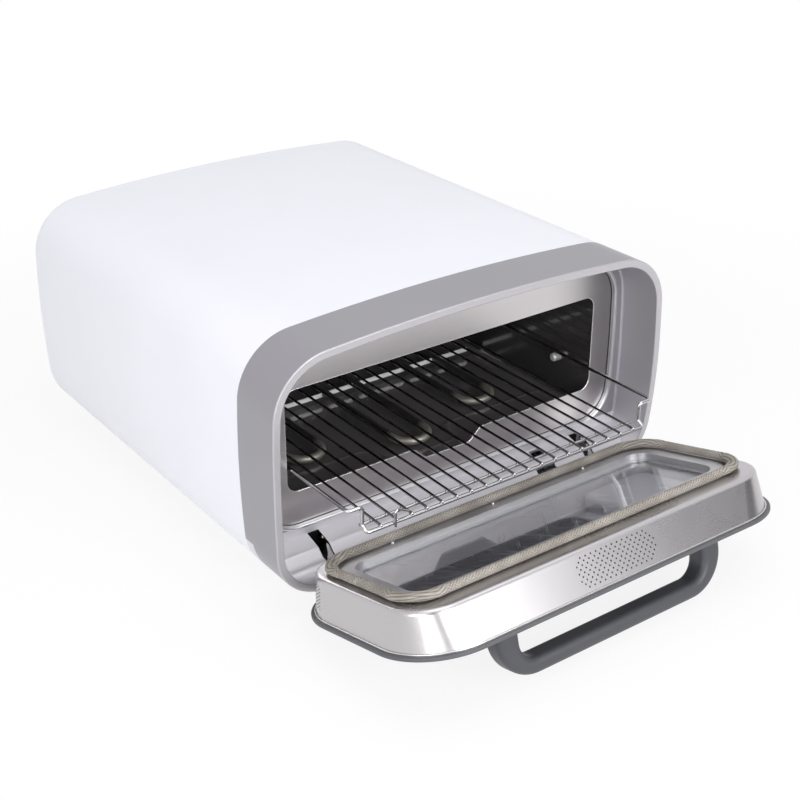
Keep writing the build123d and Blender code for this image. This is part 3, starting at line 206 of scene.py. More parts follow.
@dataclass(frozen=True)
class Outline:
    """A closed flat line, anticlockwise, as an array of points in millimetres."""

    points: Array

    @classmethod
    def rounded(cls, corners: Sequence[Pair], radii: Sequence[float]) -> "Outline":
        """A polygon with a round at each corner.

        A round starts and ends on the two edges at the radius over the tangent of half the corner's angle from it.
        Its centre lies on the line that halves the angle, at the radius over that half angle's sine.

        Args:
            corners: The polygon's corners, anticlockwise.
            radii: One radius per corner.

        Returns:
            The outline.
        """
        here = np.array(corners, dtype=float)
        parts = []
        for i, radius in enumerate(radii):
            back = here[i - 1] - here[i]
            ahead = here[(i + 1) % len(here)] - here[i]
            back, ahead = back / np.linalg.norm(back), ahead / np.linalg.norm(ahead)
            half = math.acos(float(np.clip(back @ ahead, -1.0, 1.0))) / 2
            reach = radius / math.tan(half)
            halving = (back + ahead) / np.linalg.norm(back + ahead)
            centre = here[i] + halving * radius / math.sin(half)
            end = here[i] + ahead * reach
            parts.append(np.concatenate([arc(centre, here[i] + back * reach, end), end[None]]))
        return cls(np.concatenate(parts))

    @classmethod
    def rectangle(cls, width: float, height: float, radius: float) -> "Outline":
        """A rectangle about the origin with four equal rounds."""
        x, y = width / 2, height / 2
        return cls.rounded(((-x, -y), (x, -y), (x, y), (-x, y)), (radius,) * 4)

    @classmethod
    def crowned(
        cls,
        width: float,
        low: float,
        high: float,
        crowns: Pair,
        bulge: float,
        radii: Pair,
    ) -> "Outline":
        """Four shallow outward arcs with rounded corners.

        Each arc is the circle through its two corners and its middle. A corner's round touches both arcs from
        inside, so its centre is where two circles meet: those about the arcs' centres with radii smaller by its own.

        Args:
            width: Full width.
            low: Height of the bottom's middle.
            high: Height of the top's middle.
            crowns: How far the bottom and the top bow out.
            bulge: How far each side bows out.
            radii: The rounds at the bottom and at the top.

        Returns:
            The outline, anticlockwise from the bottom right.
        """
        half, middle = width / 2, (low + high) / 2
        side, foot, shoulder = half - bulge, low + crowns[0], high - crowns[1]
        corners = np.array([(side, foot), (side, shoulder), (-side, shoulder), (-side, foot)])
        bows = np.array([(half, middle), (0.0, high), (-half, middle), (0.0, low)])
        circles = [circle_through(corners[i], bows[i], corners[(i + 1) % 4]) for i in range(4)]
        ends = []
        for i, radius in enumerate((radii[0], radii[1], radii[1], radii[0])):
            (one, one_r), (two, two_r) = circles[i - 1], circles[i]
            between = two - one
            gap = float(np.linalg.norm(between))
            along = ((one_r - radius) ** 2 - (two_r - radius) ** 2 + gap**2) / (2 * gap)
            across = math.sqrt(max(0.0, (one_r - radius) ** 2 - along**2))
            foot_point = one + between / gap * along
            normal = np.array([-between[1], between[0]]) / gap * across
            centre = min((foot_point + normal, foot_point - normal), key=lambda p: np.linalg.norm(p - corners[i]))
            touch = [c + (centre - c) / np.linalg.norm(centre - c) * r for c, r in ((one, one_r), (two, two_r))]
            ends.append((centre, touch[0], touch[1]))
        parts = []
        for i in range(4):
            centre, start, end = ends[i]
            parts.append(arc(centre, start, end))
            parts.append(arc(circles[i][0], end, ends[(i + 1) % 4][1], 200))
        return cls(np.concatenate(parts))

    def spaced(self, count: int) -> "Outline":
        """The same line as count points at even distances along it."""
        closed = np.concatenate([self.points, self.points[:1]])
        run = np.concatenate([[0.0], np.cumsum(np.linalg.norm(np.diff(closed, axis=0), axis=1))])
        where = np.linspace(0.0, run[-1], count, endpoint=False)
        return Outline(np.stack([np.interp(where, run, closed[:, k]) for k in (0, 1)], axis=-1))

    def length(self) -> float:
        """Length of the closed line."""
        return float(np.linalg.norm(self.points - np.roll(self.points, 1, axis=0), axis=1).sum())

    def outward(self) -> Array:
        """The outward normal at each point: the line's direction there, turned a quarter clockwise."""
        along = np.roll(self.points, -1, axis=0) - np.roll(self.points, 1, axis=0)
        along /= np.linalg.norm(along, axis=1, keepdims=True)
        return np.stack([along[:, 1], -along[:, 0]], axis=-1)

    def carry(self, out: Array, up: Array) -> tuple[Array, Array, Array]:
        """Carries a section along the line.

        A point is the line's own point plus out times the outward normal, raised by up.

        Args:
            out: Outward offsets, count by section or section alone.
            up: Offsets square to the line's plane, of the same shape.

        Returns:
            The two coordinates in the plane and the height, each count + 1 by section.
        """
        count = len(self.points)
        out, up = (np.broadcast_to(a, (count, a.shape[-1])) for a in (out, up))
        flat = self.points[:, None, :] + out[..., None] * self.outward()[:, None, :]
        wrap = np.arange(count + 1) % count
        return flat[wrap, :, 0], flat[wrap, :, 1], up[wrap]


@dataclass
class Skin:
    """A surface of quads: points, corners by index, and a place on the surface for each point."""

    points: Array
    quads: Array
    places: Array

    @classmethod
    def grid(cls, points: Array, places: Array | None = None) -> "Skin":
        """Joins a grid of points, or several grids of one size, into quads.

        Quad (i, j) has the corners (i, j), (i + 1, j), (i + 1, j + 1) and (i, j + 1) of its grid.

        Args:
            points: Points of shape rows by columns by 3, or copies by rows by columns by 3.
            places: Surface coordinates of shape rows by columns by 2, the row and column share if left out.

        Returns:
            The skin.
        """
        points = points if points.ndim == 4 else points[None]
        copies, rows, columns, _ = points.shape
        if places is None:
            share = np.meshgrid(np.linspace(0, 1, rows), np.linspace(0, 1, columns), indexing="ij")
            places = np.stack(share, axis=-1)
        i, j = np.meshgrid(np.arange(rows - 1), np.arange(columns - 1), indexing="ij")
        first = (i * columns + j).ravel()
        quads = np.stack([first, first + columns, first + columns + 1, first + 1], axis=-1)
        quads = (quads[None] + np.arange(copies)[:, None, None] * rows * columns).reshape(-1, 4)
        return cls(points.reshape(-1, 3), quads, np.tile(places.reshape(-1, 2), (copies, 1)))

    def mesh(self, name: str) -> bpy.types.Object:
        """Makes the object: merges seams and poles, turns faces outwards and shades them smooth.

        Args:
            name: The object's name.

        Returns:
            The object, at the origin.
        """
        mesh = bpy.data.meshes.new(name)
        mesh.from_pydata(self.points.tolist(), [], self.quads.tolist())
        layer = mesh.uv_layers.new(name="surface")
        layer.data.foreach_set("uv", self.places[self.quads.ravel()].astype(np.float32).ravel())
        shell = bmesh.new()
        shell.from_mesh(mesh)
        bmesh.ops.remove_doubles(shell, verts=shell.verts, dist=1e-6)
        bmesh.ops.recalc_face_normals(shell, faces=shell.faces)
        shell.to_mesh(mesh)
        shell.free()
        mesh.polygons.foreach_set("use_smooth", np.ones(len(mesh.polygons), dtype=bool))
        made = bpy.data.objects.new(name, mesh)
        bpy.context.scene.collection.objects.link(made)
        return made


def ring_section(across: float, along: float, count: int) -> tuple[Array, Array]:
    """A closed ellipse: across times the cosine and along times the sine of an angle that goes once round."""
    angle = np.linspace(0.0, FULL_TURN, count + 1)
    return across * np.cos(angle), along * np.sin(angle)


def beads(centres: Array, radii: Triple, rows: int = 8, columns: int = 12) -> Array:
    """Ellipsoids round many centres.

    A point is the centre plus (a sin t cos u, b sin t sin u, c cos t), t from pole to pole and u once round.

    Args:
        centres: Centres, k by 3, in millimetres.
        radii: The three half axes.
        rows: Steps from pole to pole.
        columns: Steps round.

    Returns:
        Points, k by rows + 1 by columns + 1 by 3.
    """
    t, u = np.meshgrid(np.linspace(0, math.pi, rows + 1), np.linspace(0, FULL_TURN, columns + 1), indexing="ij")
    unit = np.stack([np.sin(t) * np.cos(u), np.sin(t) * np.sin(u), np.cos(t)], axis=-1)
    return centres[:, None, None, :] + unit * np.array(radii)


def _operator(operation: str, reflected: bool = False) -> Callable[..., "Sock"]:
    """Makes a method of Sock that adds one Math node.

    Args:
        operation: The Math node's operation.
        reflected: Whether the method's own socket comes second, as in 1 - mask.

    Returns:
        The method, which takes the socket and the other values, if any, as sockets or numbers.
    """

    def method(self: "Sock", *others: "Sock | float") -> "Sock":
        """Adds the Math node over the socket and the other values."""
        values = (*others, self) if reflected else (self, *others)
        return self.sheet.node("ShaderNodeMath", {"operation": operation}, dict(enumerate(values)))

    return method


class Sock:
    """A shader socket that takes Python arithmetic and adds the Math nodes it needs.

    The named methods give the smaller or larger of two values, a power, the whole number below, what is left above
    it, what is left after whole spans, and the sine.
    """

    def __init__(self, sheet: "Sheet", link: bpy.types.NodeSocket) -> None:
        """Wraps an output socket of the sheet's node tree."""
        self.sheet = sheet
        self.link = link

    __add__, __radd__ = _operator("ADD"), _operator("ADD", True)
    __sub__, __rsub__ = _operator("SUBTRACT"), _operator("SUBTRACT", True)
    __mul__, __rmul__ = _operator("MULTIPLY"), _operator("MULTIPLY", True)
    __truediv__, __abs__ = _operator("DIVIDE"), _operator("ABSOLUTE")
    low, high, power = _operator("MINIMUM"), _operator("MAXIMUM"), _operator("POWER")
    whole, part, over, sine = _operator("FLOOR"), _operator("FRACT"), _operator("FLOORED_MODULO"), _operator("SINE")

    def step(self, start: float, end: float) -> "Sock":
        """A smooth rise from zero at start to one at end.

        Args:
            start: The value where the rise begins.
            end: The value where it ends, which may be the smaller one.

        Returns:
            The risen mask.
        """
        settings = {"interpolation_type": "SMOOTHSTEP"}
        if end > start:
            return self.sheet.node("ShaderNodeMapRange", settings, {0: self, 1: start, 2: end, 3: 0.0, 4: 1.0})
        return self.sheet.node("ShaderNodeMapRange", settings, {0: self, 1: end, 2: start, 3: 1.0, 4: 0.0})


def toned(colour: Colour, factor: float) -> Colour:
    """The colour times a factor, each part at most one."""
    return tuple(min(1.0, part * factor) for part in colour)


class Sheet:
    """A material's node tree, with one method that adds any node."""

    def __init__(self, name: str) -> None:
        """Makes an empty node material with its output."""
        self.material = bpy.data.materials.new(name)
        self.material.use_nodes = True
        self.tree = self.material.node_tree
        self.tree.nodes.clear()
        self.output = self.tree.nodes.new("ShaderNodeOutputMaterial")

    def node(
        self,
        kind: str,
        settings: dict | None = None,
        values: dict | None = None,
        out: str | int = 0,
    ) -> Sock:
        """Adds a node, sets it up and fills its sockets.

        Args:
            kind: The node's type.
            settings: Its own settings, and under "stops" the (place, colour) stops of a ramp.
            values: Socket name or number to a value or a Sock.
            out: The output that is wanted.

        Returns:
            That output.
        """
        made = self.tree.nodes.new(kind)
        for key, value in (settings or {}).items():
            if key == "stops":
                self._stops(made, value)
            else:
                setattr(made, key, value)
        for key, value in (values or {}).items():
            socket = made.inputs[key]
            if isinstance(value, Sock):
                self.tree.links.new(value.link, socket)
            elif isinstance(value, tuple) and len(value) == 3 and len(socket.default_value) == 4:
                socket.default_value = (*value, 1.0)
            else:
                socket.default_value = value
        return Sock(self, made.outputs[out])

    @staticmethod
    def _stops(ramp: bpy.types.Node, stops: Sequence[tuple[float, Colour]]) -> None:
        """Puts the stops into a colour ramp."""
        elements = ramp.color_ramp.elements
        while len(elements) < len(stops):
            elements.new(0.5)
        for element, (place, colour) in zip(elements, stops):
            element.position = place
            element.color = (*colour, 1.0)

    def coordinates(self) -> Sock:
        """Object coordinates, which are the model's frame in metres."""
        return self.node("ShaderNodeTexCoord", out="Object")

    def split(self, vector: Sock) -> tuple[Sock, Sock, Sock]:
        """The three parts of a vector."""
        made = self.tree.nodes.new("ShaderNodeSeparateXYZ")
        self.tree.links.new(vector.link, made.inputs[0])
        return tuple(Sock(self, made.outputs[i]) for i in range(3))

    def stretched(self, scale: Sequence[float], turn: Sequence[float] = (0.0, 0.0, 0.0)) -> Sock:
        """Object coordinates turned and then scaled per axis."""
        turned = self.node(
            "ShaderNodeMapping", {"vector_type": "TEXTURE"}, {"Vector": self.coordinates(), "Rotation": turn}
        )
        return self.node("ShaderNodeMapping", None, {"Vector": turned, "Scale": scale})

    def noise(self, vector: Sock, scale: float, detail: float = 2.0, roughness: float = 0.5) -> Sock:
        """Fractal noise from zero to one."""
        return self.node(
            "ShaderNodeTexNoise",
            {"noise_dimensions": "3D"},
            {"Vector": vector, "Scale": scale, "Detail": detail, "Roughness": roughness},
        )

    def mix(self, factor: Sock | float, first: Sock | Colour, second: Sock | Colour) -> Sock:
        """Mixes two colours."""
        made = self.tree.nodes.new("ShaderNodeMix")
        made.data_type = "RGBA"
        for index, value in ((0, factor), (6, first), (7, second)):
            if isinstance(value, Sock):
                self.tree.links.new(value.link, made.inputs[index])
            elif isinstance(value, tuple):
                made.inputs[index].default_value = (*value, 1.0)
            else:
                made.inputs[index].default_value = value
        return Sock(self, made.outputs[2])

    def bump(self, height: Sock, strength: float, depth: Depth) -> Sock:
        """A bumped normal."""
        return self.node("ShaderNodeBump", None, {"Strength": strength, "Distance": depth.value, "Height": height})

    def surface(self, **values: Sock | float | Colour) -> bpy.types.Material:
        """Closes the material with a Principled shader.

        Args:
            **values: Socket names with underscores for spaces.

        Returns:
            The material.
        """
        named = {key.replace("_", " "): value for key, value in values.items()}
        shader = self.node("ShaderNodeBsdfPrincipled", None, named)
        self.tree.links.new(shader.link, self.output.inputs["Surface"])
        return self.material


class Finish(Protocol):
    """Anything that can make its own material."""

    def make(self, name: str) -> bpy.types.Material:
        """Builds the material under the given name."""


@dataclass(frozen=True)
class Coat:
    """A sprayed coat on metal or a moulded skin: one colour, with fine orange peel and a faint unevenness."""

    colour: Colour
    roughness: float
    peel: float = 900.0
    relief: float = 0.05
    drift: float = 0.03
    drift_scale: float = 9.0
    scatter: float = 0.06
    metallic: float = 0.0
    gloss: float = 0.0
    gloss_roughness: float = 0.12

    def make(self, name: str) -> bpy.types.Material:
        """Builds the material: slow noise shifts the colour and roughness, fine noise raises the peel."""
        sheet = Sheet(name)
        place = sheet.coordinates()
        slow = sheet.noise(place, self.drift_scale, 3.0)
        fine = sheet.noise(place, self.peel, 2.0)
        return sheet.surface(
            Base_Color=sheet.mix(slow, toned(self.colour, 1 - self.drift), toned(self.colour, 1 + self.drift)),
            Roughness=slow * self.scatter + (self.roughness - self.scatter / 2) + fine * 0.02,
            Metallic=self.metallic,
            Coat_Weight=self.gloss,
            Coat_Roughness=self.gloss_roughness,
            Normal=sheet.bump(fine, self.relief, Depth.PEEL),
        )


@dataclass(frozen=True)
class Brushed:
    """Brushed steel: long fine streaks along x, in its relief, its roughness and faintly its colour."""

    colour: Colour
    roughness: float
    turn: float = 0.0
    grain: Triple = (6.0, 1500.0, 1500.0)
    coarser: float = 0.12
    fine_share: float = 0.6
    cloud_scale: float = 14.0
    cloud: float = 0.05
    scatter: float = 0.06
    reach: float = 0.45
    painted_shade_depth: float = 0.38
    painted_light_gain: float = 0.6
    relief: float = 0.12
    streak: float = 0.06
    patchy: float = 0.12
    # Where painted shade and painted light fall, if given.
    painted_shade_x: Pair | None = None
    painted_light_z: Pair | None = None

    def make(self, name: str) -> bpy.types.Material:
        """Builds the material: noise is stretched along the grain, after a turn about X for a tilted sheet.

        The sheet may take painted shade that darkens it between two values of x, and painted light that makes it
        paler between two values of z.
        """
        sheet = Sheet(name)
        turn = (self.turn, 0.0, 0.0)
        fine = sheet.noise(sheet.stretched(self.grain, turn), 1.0, 4.0, 0.65)
        broad = sheet.noise(sheet.stretched(tuple(s * self.coarser for s in self.grain), turn), 1.0, 3.0)
        cloud = sheet.noise(sheet.coordinates(), self.cloud_scale, 3.0)
        streaks = fine * self.fine_share + broad * (1 - self.fine_share) - 0.5
        tone = streaks * self.streak + cloud * self.cloud + (0.5 - self.cloud / 2)
        x, _, z = sheet.split(sheet.coordinates())
        # Painted shade across x and painted light across z.
        if self.painted_shade_x:
            tone = tone - x.step(*self.painted_shade_x) * self.painted_shade_depth
        if self.painted_light_z:
            tone = tone + z.step(*self.painted_light_z) * self.painted_light_gain
        return sheet.surface(
            Base_Color=sheet.mix(tone, toned(self.colour, 1 - self.reach), toned(self.colour, 1 + self.reach)),
            Roughness=fine * self.patchy + cloud * self.scatter + (self.roughness - (self.scatter + self.patchy) / 2),
            Metallic=1.0,
            Normal=sheet.bump(fine * 0.7 + broad * 0.3, self.relief, Depth.GRAIN),
        )


@dataclass(frozen=True)
class Bright:
    """Plated or polished metal with faint smears."""

    colour: Colour
    roughness: float
    smear_and_painted_reflection: float = 40.0
    dull: float = 0.9
    scatter: float = 0.12
    ripple: float = 600.0
    relief: float = 0.03

    def make(self, name: str) -> bpy.types.Material:
        """Builds the material: noise moves the roughness a little and dulls the colour in patches."""
        sheet = Sheet(name)
        cloud = sheet.noise(sheet.coordinates(), self.smear_and_painted_reflection, 4.0, 0.6)
        return sheet.surface(
            Base_Color=sheet.mix(cloud, toned(self.colour, self.dull), self.colour),
            Roughness=cloud * self.scatter + self.roughness,
            Metallic=1.0,
            Normal=sheet.bump(sheet.noise(sheet.coordinates(), self.ripple), self.relief, Depth.GRAIN),
        )


@dataclass(frozen=True)
class Enamel:
    """Dark fired enamel: glossy, slightly wavy, with pale specks, and painted light that makes the floor paler."""

    colour: Colour
    floor: Colour
    speck: Colour
    floor_z: float
    fade: float = 0.004
    speck_scale: float = 420.0
    speck_size: Pair = (0.16, 0.06)
    choice_scale: float = 260.0
    chosen: Pair = (0.56, 0.64)
    wave_scale: float = 55.0
    relief: float = 0.05
    index: float = 2.1

    def make(self, name: str) -> bpy.types.Material:
        """Builds the material: sparse cells become specks, slow noise makes the fired surface wavy."""
        sheet = Sheet(name)
        place = sheet.coordinates()
        cells = sheet.node("ShaderNodeTexVoronoi", None, {"Vector": place, "Scale": self.speck_scale}, out="Distance")
        choice = sheet.noise(place, self.choice_scale)
        specks = cells.step(*self.speck_size) * choice.step(*self.chosen)
        wave = sheet.noise(place, self.wave_scale, 2.0)
        _, _, z = sheet.split(place)
        # Painted light: below the floor's height the colour turns to the paler floor colour.
        low = z.step(self.floor_z + self.fade, self.floor_z)
        return sheet.surface(
            Base_Color=sheet.mix(specks * 0.7, sheet.mix(low, self.colour, self.floor), self.speck),
            Roughness=wave * 0.1 + 0.13 - low * 0.1 + specks * 0.1,
            IOR=self.index,
            Coat_Weight=1.0,
            Coat_Roughness=0.04,
            Normal=sheet.bump(wave, self.relief, Depth.WAVE),
        )


@dataclass(frozen=True)
class Pane:
    """Toughened glass with fine scratches and a little dust."""

    tint: Colour
    transmission: float
    haze: float
    scales: tuple[Triple, Triple] = ((900.0, 18.0, 18.0), (14.0, 700.0, 14.0))
    turns: tuple[Triple, Triple] = ((0.0, 0.0, 0.5), (0.2, 0.0, 0.9))
    edges: tuple[Pair, Pair] = ((0.66, 0.72), (0.68, 0.74))
    relief: float = 0.06
    index: float = 1.46

    def make(self, name: str) -> bpy.types.Material:
        """Builds the material: thin stretched noise is the scratches, in two directions."""
        sheet = Sheet(name)
        one, two = (sheet.noise(sheet.stretched(*way), 1.0, 2.0) for way in zip(self.scales, self.turns))
        scratch = one.step(*self.edges[0]).high(two.step(*self.edges[1]))
        dust = sheet.noise(sheet.coordinates(), 30.0, 5.0, 0.7)
        return sheet.surface(
            Base_Color=self.tint,
            Roughness=scratch * 0.25 + dust * self.haze + 0.015,
            Transmission_Weight=self.transmission,
            IOR=self.index,
            Normal=sheet.bump(scratch, self.relief, Depth.HAIRLINE),
        )


@dataclass(frozen=True)
class Fibre:
    """Braided or felted glass fibre: matt, with a fine mottle."""

    dark: Colour
    pale: Colour
    scale: float
    coarser: float = 0.06
    relief: float = 0.5

    def make(self, name: str) -> bpy.types.Material:
        """Builds the material: two scales of noise mix the colours and roughen the surface."""
        sheet = Sheet(name)
        place = sheet.coordinates()
        fine = sheet.noise(place, self.scale, 3.0, 0.6)
        broad = sheet.noise(place, self.scale * self.coarser, 2.0)
        return sheet.surface(
            Base_Color=sheet.mix((fine * 0.7 + broad * 0.3).step(0.3, 0.7), self.dark, self.pale),
            Roughness=fine * 0.15 + 0.75,
            Sheen_Weight=0.2,
            Normal=sheet.bump(fine, self.relief, Depth.FELT),
        )


@dataclass(frozen=True)
class Moulded:
    """Moulded plastic, rubber or ceramic with a spark-eroded texture."""

    colour: Colour
    roughness: float
    texture: float = 1400.0
    relief: float = 0.12
    drift: float = 0.07
    drift_scale: float = 25.0

    def make(self, name: str) -> bpy.types.Material:
        """Builds the material: fine noise is the texture and moves the roughness, slow noise the tone."""
        sheet = Sheet(name)
        place = sheet.coordinates()
        fine = sheet.noise(place, self.texture, 2.0, 0.6)
        slow = sheet.noise(place, self.drift_scale, 3.0)
        return sheet.surface(
            Base_Color=sheet.mix(slow, toned(self.colour, 1 - self.drift), toned(self.colour, 1 + self.drift)),
            Roughness=fine * 0.1 + slow * 0.05 + (self.roughness - 0.07),
            Normal=sheet.bump(fine, self.relief, Depth.PEEL),
        )


@dataclass(frozen=True)
class Board:
    """A coated circuit board with faint tracks."""

    green: Colour = (0.02, 0.11, 0.05)
    track: Colour = (0.05, 0.24, 0.11)
    scale: float = 260.0
    track_edge: Pair = (0.42, 0.5)
    relief: float = 0.2

    def make(self, name: str) -> bpy.types.Material:
        """Builds the material: the edges between square cells are the tracks."""
        sheet = Sheet(name)
        cells = sheet.node(
            "ShaderNodeTexVoronoi",
            {"distance": "MANHATTAN"},
            {"Vector": sheet.coordinates(), "Scale": self.scale},
            out="Distance",
        )
        return sheet.surface(
            Base_Color=sheet.mix(cells.step(*self.track_edge), self.green, self.track),
            Roughness=cells * 0.1 + 0.3,
            Normal=sheet.bump(cells, self.relief, Depth.PEEL),
        )


@dataclass(frozen=True)
class Satin:
    """The ring's satin metal, with a smoother lip, and painted light on the lip, the inner faces and the sill.

    The lip is found by depth: the place's y less the front's own y, which curves back below the lip's rake as the
    square of the height still missing over twice the curve's radius, and its paler colour is a painted highlight.
    The inner faces are those whose normal points at the ring's middle line, so that the normal's product with the
    way out from that line is below zero; they are painted paler as lit faces, and where they face upwards, on the
    sill, paler still. The low wall behind the sill is painted as pale as the sill, painted light over its shade,
    and the inside of the two hinge slots is painted dark as shade.
    """

    colour: Colour
    inner: Colour
    # inner, sill and lip are painted-light colours; shadow is painted shade.
    sill: Colour
    lip: Colour
    roughness: float
    front: float
    underside: float
    middle: float = 0.137
    rake_top: float = 0.150
    rake_radius: float = 1.210
    lip_edge: Pair = (0.0022, 0.0008)
    inside_edge: Pair = (0.0, -0.02)
    facing_up: Pair = (0.15, 0.6)
    wall: Pair = (0.0468, 0.0545)
    wall_fades: Pair = (0.0004, 0.001)
    slot: tuple[float, float, float, float] = (0.1563, 0.1687, 0.0132, 0.0452)
    slot_fade: float = 0.0001
    shadow: Colour = (0.012, 0.012, 0.013)
    relief: float = 0.05

    def make(self, name: str) -> bpy.types.Material:
        """Builds the material: fine noise is the grain, slow noise the unevenness, and the lip has a painted
        highlight.
        """
        sheet = Sheet(name)
        place = sheet.coordinates()
        x, y, z = sheet.split(place)
        across, _, upward = sheet.split(sheet.node("ShaderNodeNewGeometry", out="Normal"))
        missing = (self.underside + self.rake_top - z).high(0.0)
        depth = y - self.front - missing * missing / (2 * self.rake_radius)
        # Painted highlight: the lip's colour is paler.
        lip = depth.step(*self.lip_edge)
        inside = (across * x + upward * (z - self.underside - self.middle)).step(*self.inside_edge)
        slow = sheet.noise(place, 7.0, 3.0)
        fine = sheet.noise(place, 1500.0, 2.0, 0.6)
        plain = sheet.mix(slow, toned(self.colour, 0.95), toned(self.colour, 1.05))
        # Painted light: inner faces are paler than the outside, and upward-facing ones (the sill) are palest.
        both = sheet.mix(inside, plain, sheet.mix(upward.step(*self.facing_up), self.inner, self.sill))
        # Painted light: the low wall behind the sill takes the sill's pale colour instead of its shade.
        (wall_y, wall_z), (fade_y, fade_z) = self.wall, self.wall_fades
        rear = (y - self.front).step(wall_y, wall_y + fade_y)
        wall = rear * (z - self.underside).step(wall_z + fade_z, wall_z)
        both = sheet.mix(wall, both, self.sill)
        # Painted shade: the inside of the hinge slots takes the dark shadow colour.
        low_x, high_x, low_z, high_z = self.slot
        fade = self.slot_fade
        across_slot = abs(x).step(low_x, low_x + fade) * abs(x).step(high_x, high_x - fade)
        height = z - self.underside
        slot = across_slot * height.step(low_z, low_z + fade) * height.step(high_z, high_z - fade)
        both = sheet.mix(slot, sheet.mix(lip, both, self.lip), self.shadow)
        return sheet.surface(
            Base_Color=both,
            Roughness=slow * 0.05 + fine * 0.04 + (self.roughness - 0.04) - lip * 0.04,
            Metallic=0.45,
            Normal=sheet.bump(fine, self.relief, Depth.GRAIN),
        )


@dataclass(frozen=True)
class Strip:
    """A tube support: bare metal above a height, and below it painted dark as shade in the cavity's enamel colour."""

    bare: Colour
    enamel_with_painted_shading: Colour
    line: float
    blend: float = 0.0003
    scuffs: float = 120.0
    dull: float = 0.88
    relief: float = 0.08

    def make(self, name: str) -> bpy.types.Material:
        """Builds the material: the place's height picks the metal or the painted shade, noise scuffs both."""
        sheet = Sheet(name)
        place = sheet.coordinates()
        _, _, z = sheet.split(place)
        # Painted shade: below the line the support is dark.
        bare = z.step(self.line - self.blend, self.line + self.blend)
        scuff = sheet.noise(place, self.scuffs, 4.0, 0.6)
        metal = sheet.mix(scuff, toned(self.bare, self.dull), self.bare)
        return sheet.surface(
            Base_Color=sheet.mix(bare, self.enamel_with_painted_shading, metal),
            Roughness=scuff * 0.15 + 0.25,
            Normal=sheet.bump(scuff, self.relief, Depth.GRAIN),
        )


@dataclass(frozen=True)
class Sheath:
    """A heating tube's sheath: dark where it glows, with a painted highlight round the bend.

    The bend's share falls from one to zero over a few millimetres behind it. Where the bend ends depends on the
    tube: the middle one reaches further forward.
    """

    dark: Colour
    bend_painted_highlight: Colour
    front: float
    middle_bend_y: float
    side_bend_y: float
    middle_half: float = 0.045
    middle_fade: float = 0.004
    bend_edge: Pair = (0.010, -0.004)
    blotches: float = 90.0
    drift: float = 0.3
    relief: float = 0.15

    def make(self, name: str) -> bpy.types.Material:
        """Builds the material: the place's y picks the painted highlight, noise blotches both."""
        sheet = Sheet(name)
        place = sheet.coordinates()
        x, y, _ = sheet.split(place)
        middle = abs(x).step(self.middle_half + self.middle_fade, self.middle_half)
        end = middle * (self.middle_bend_y - self.side_bend_y) + (self.front + self.side_bend_y)
        # Painted highlight: the bend is paler.
        bend = (y - end).step(*self.bend_edge)
        blotch = sheet.noise(place, self.blotches, 4.0, 0.6)
        plain = sheet.mix(blotch, toned(self.dark, 1 - self.drift), toned(self.dark, 1 + self.drift))
        return sheet.surface(
            Base_Color=sheet.mix(bend * (blotch * 0.5 + 0.6), plain, self.bend_painted_highlight),
            Roughness=blotch * 0.15 + 0.24 + bend * 0.2,
            Metallic=0.75,
            Normal=sheet.bump(blotch, self.relief, Depth.PEEL),
        )


@dataclass(frozen=True)
class Braid:
    """Herringbone braid of glass fibre yarns.

    The surface coordinates hold (a, b), and the two yarn families count as p = a + b and q = a - b. One family is
    on top where the whole parts of p and q differ, modulo four, by less than two. A yarn is high in its middle,
    as the sine of half a turn of its own fraction.
    """

    gap: Colour
    yarn: Colour
    wear_and_painted_light: Colour
    roundness: float = 0.6
    fibres: float = 1300.0
    wear_scale: float = 45.0
    wear_edge: Pair = (0.3, 0.75)
    relief: float = 0.7

    def make(self, name: str) -> bpy.types.Material:
        """Builds the material: yarns are pale, the gaps between them painted dark as shade, with loose fibres in the
        relief.
        """
        sheet = Sheet(name)
        place = sheet.coordinates()
        a, b, _ = sheet.split(sheet.node("ShaderNodeTexCoord", out="UV"))
        p, q = a + b, a - b
        top = (p.whole() - q.whole()).over(4.0).step(2.01, 1.99)
        one, two = (p.part() * math.pi).sine(), (q.part() * math.pi).sine()
        high = (top * one + (1.0 - top) * two).power(self.roundness)
        fibre = sheet.noise(place, self.fibres, 3.0, 0.65)
        slow = sheet.noise(place, self.wear_scale, 3.0)
        yarn = sheet.mix(slow.step(*self.wear_edge), self.yarn, self.wear_and_painted_light)
        return sheet.surface(
            # Painted shade: the gaps between the yarns are dark.
            Base_Color=sheet.mix((high * 0.9 + fibre * 0.35 - 0.15).low(1.0).high(0.0), self.gap, yarn),
            Roughness=fibre * 0.15 + 0.6,
            Normal=sheet.bump(high * 0.8 + fibre * 0.5, self.relief, Depth.YARN),
        )


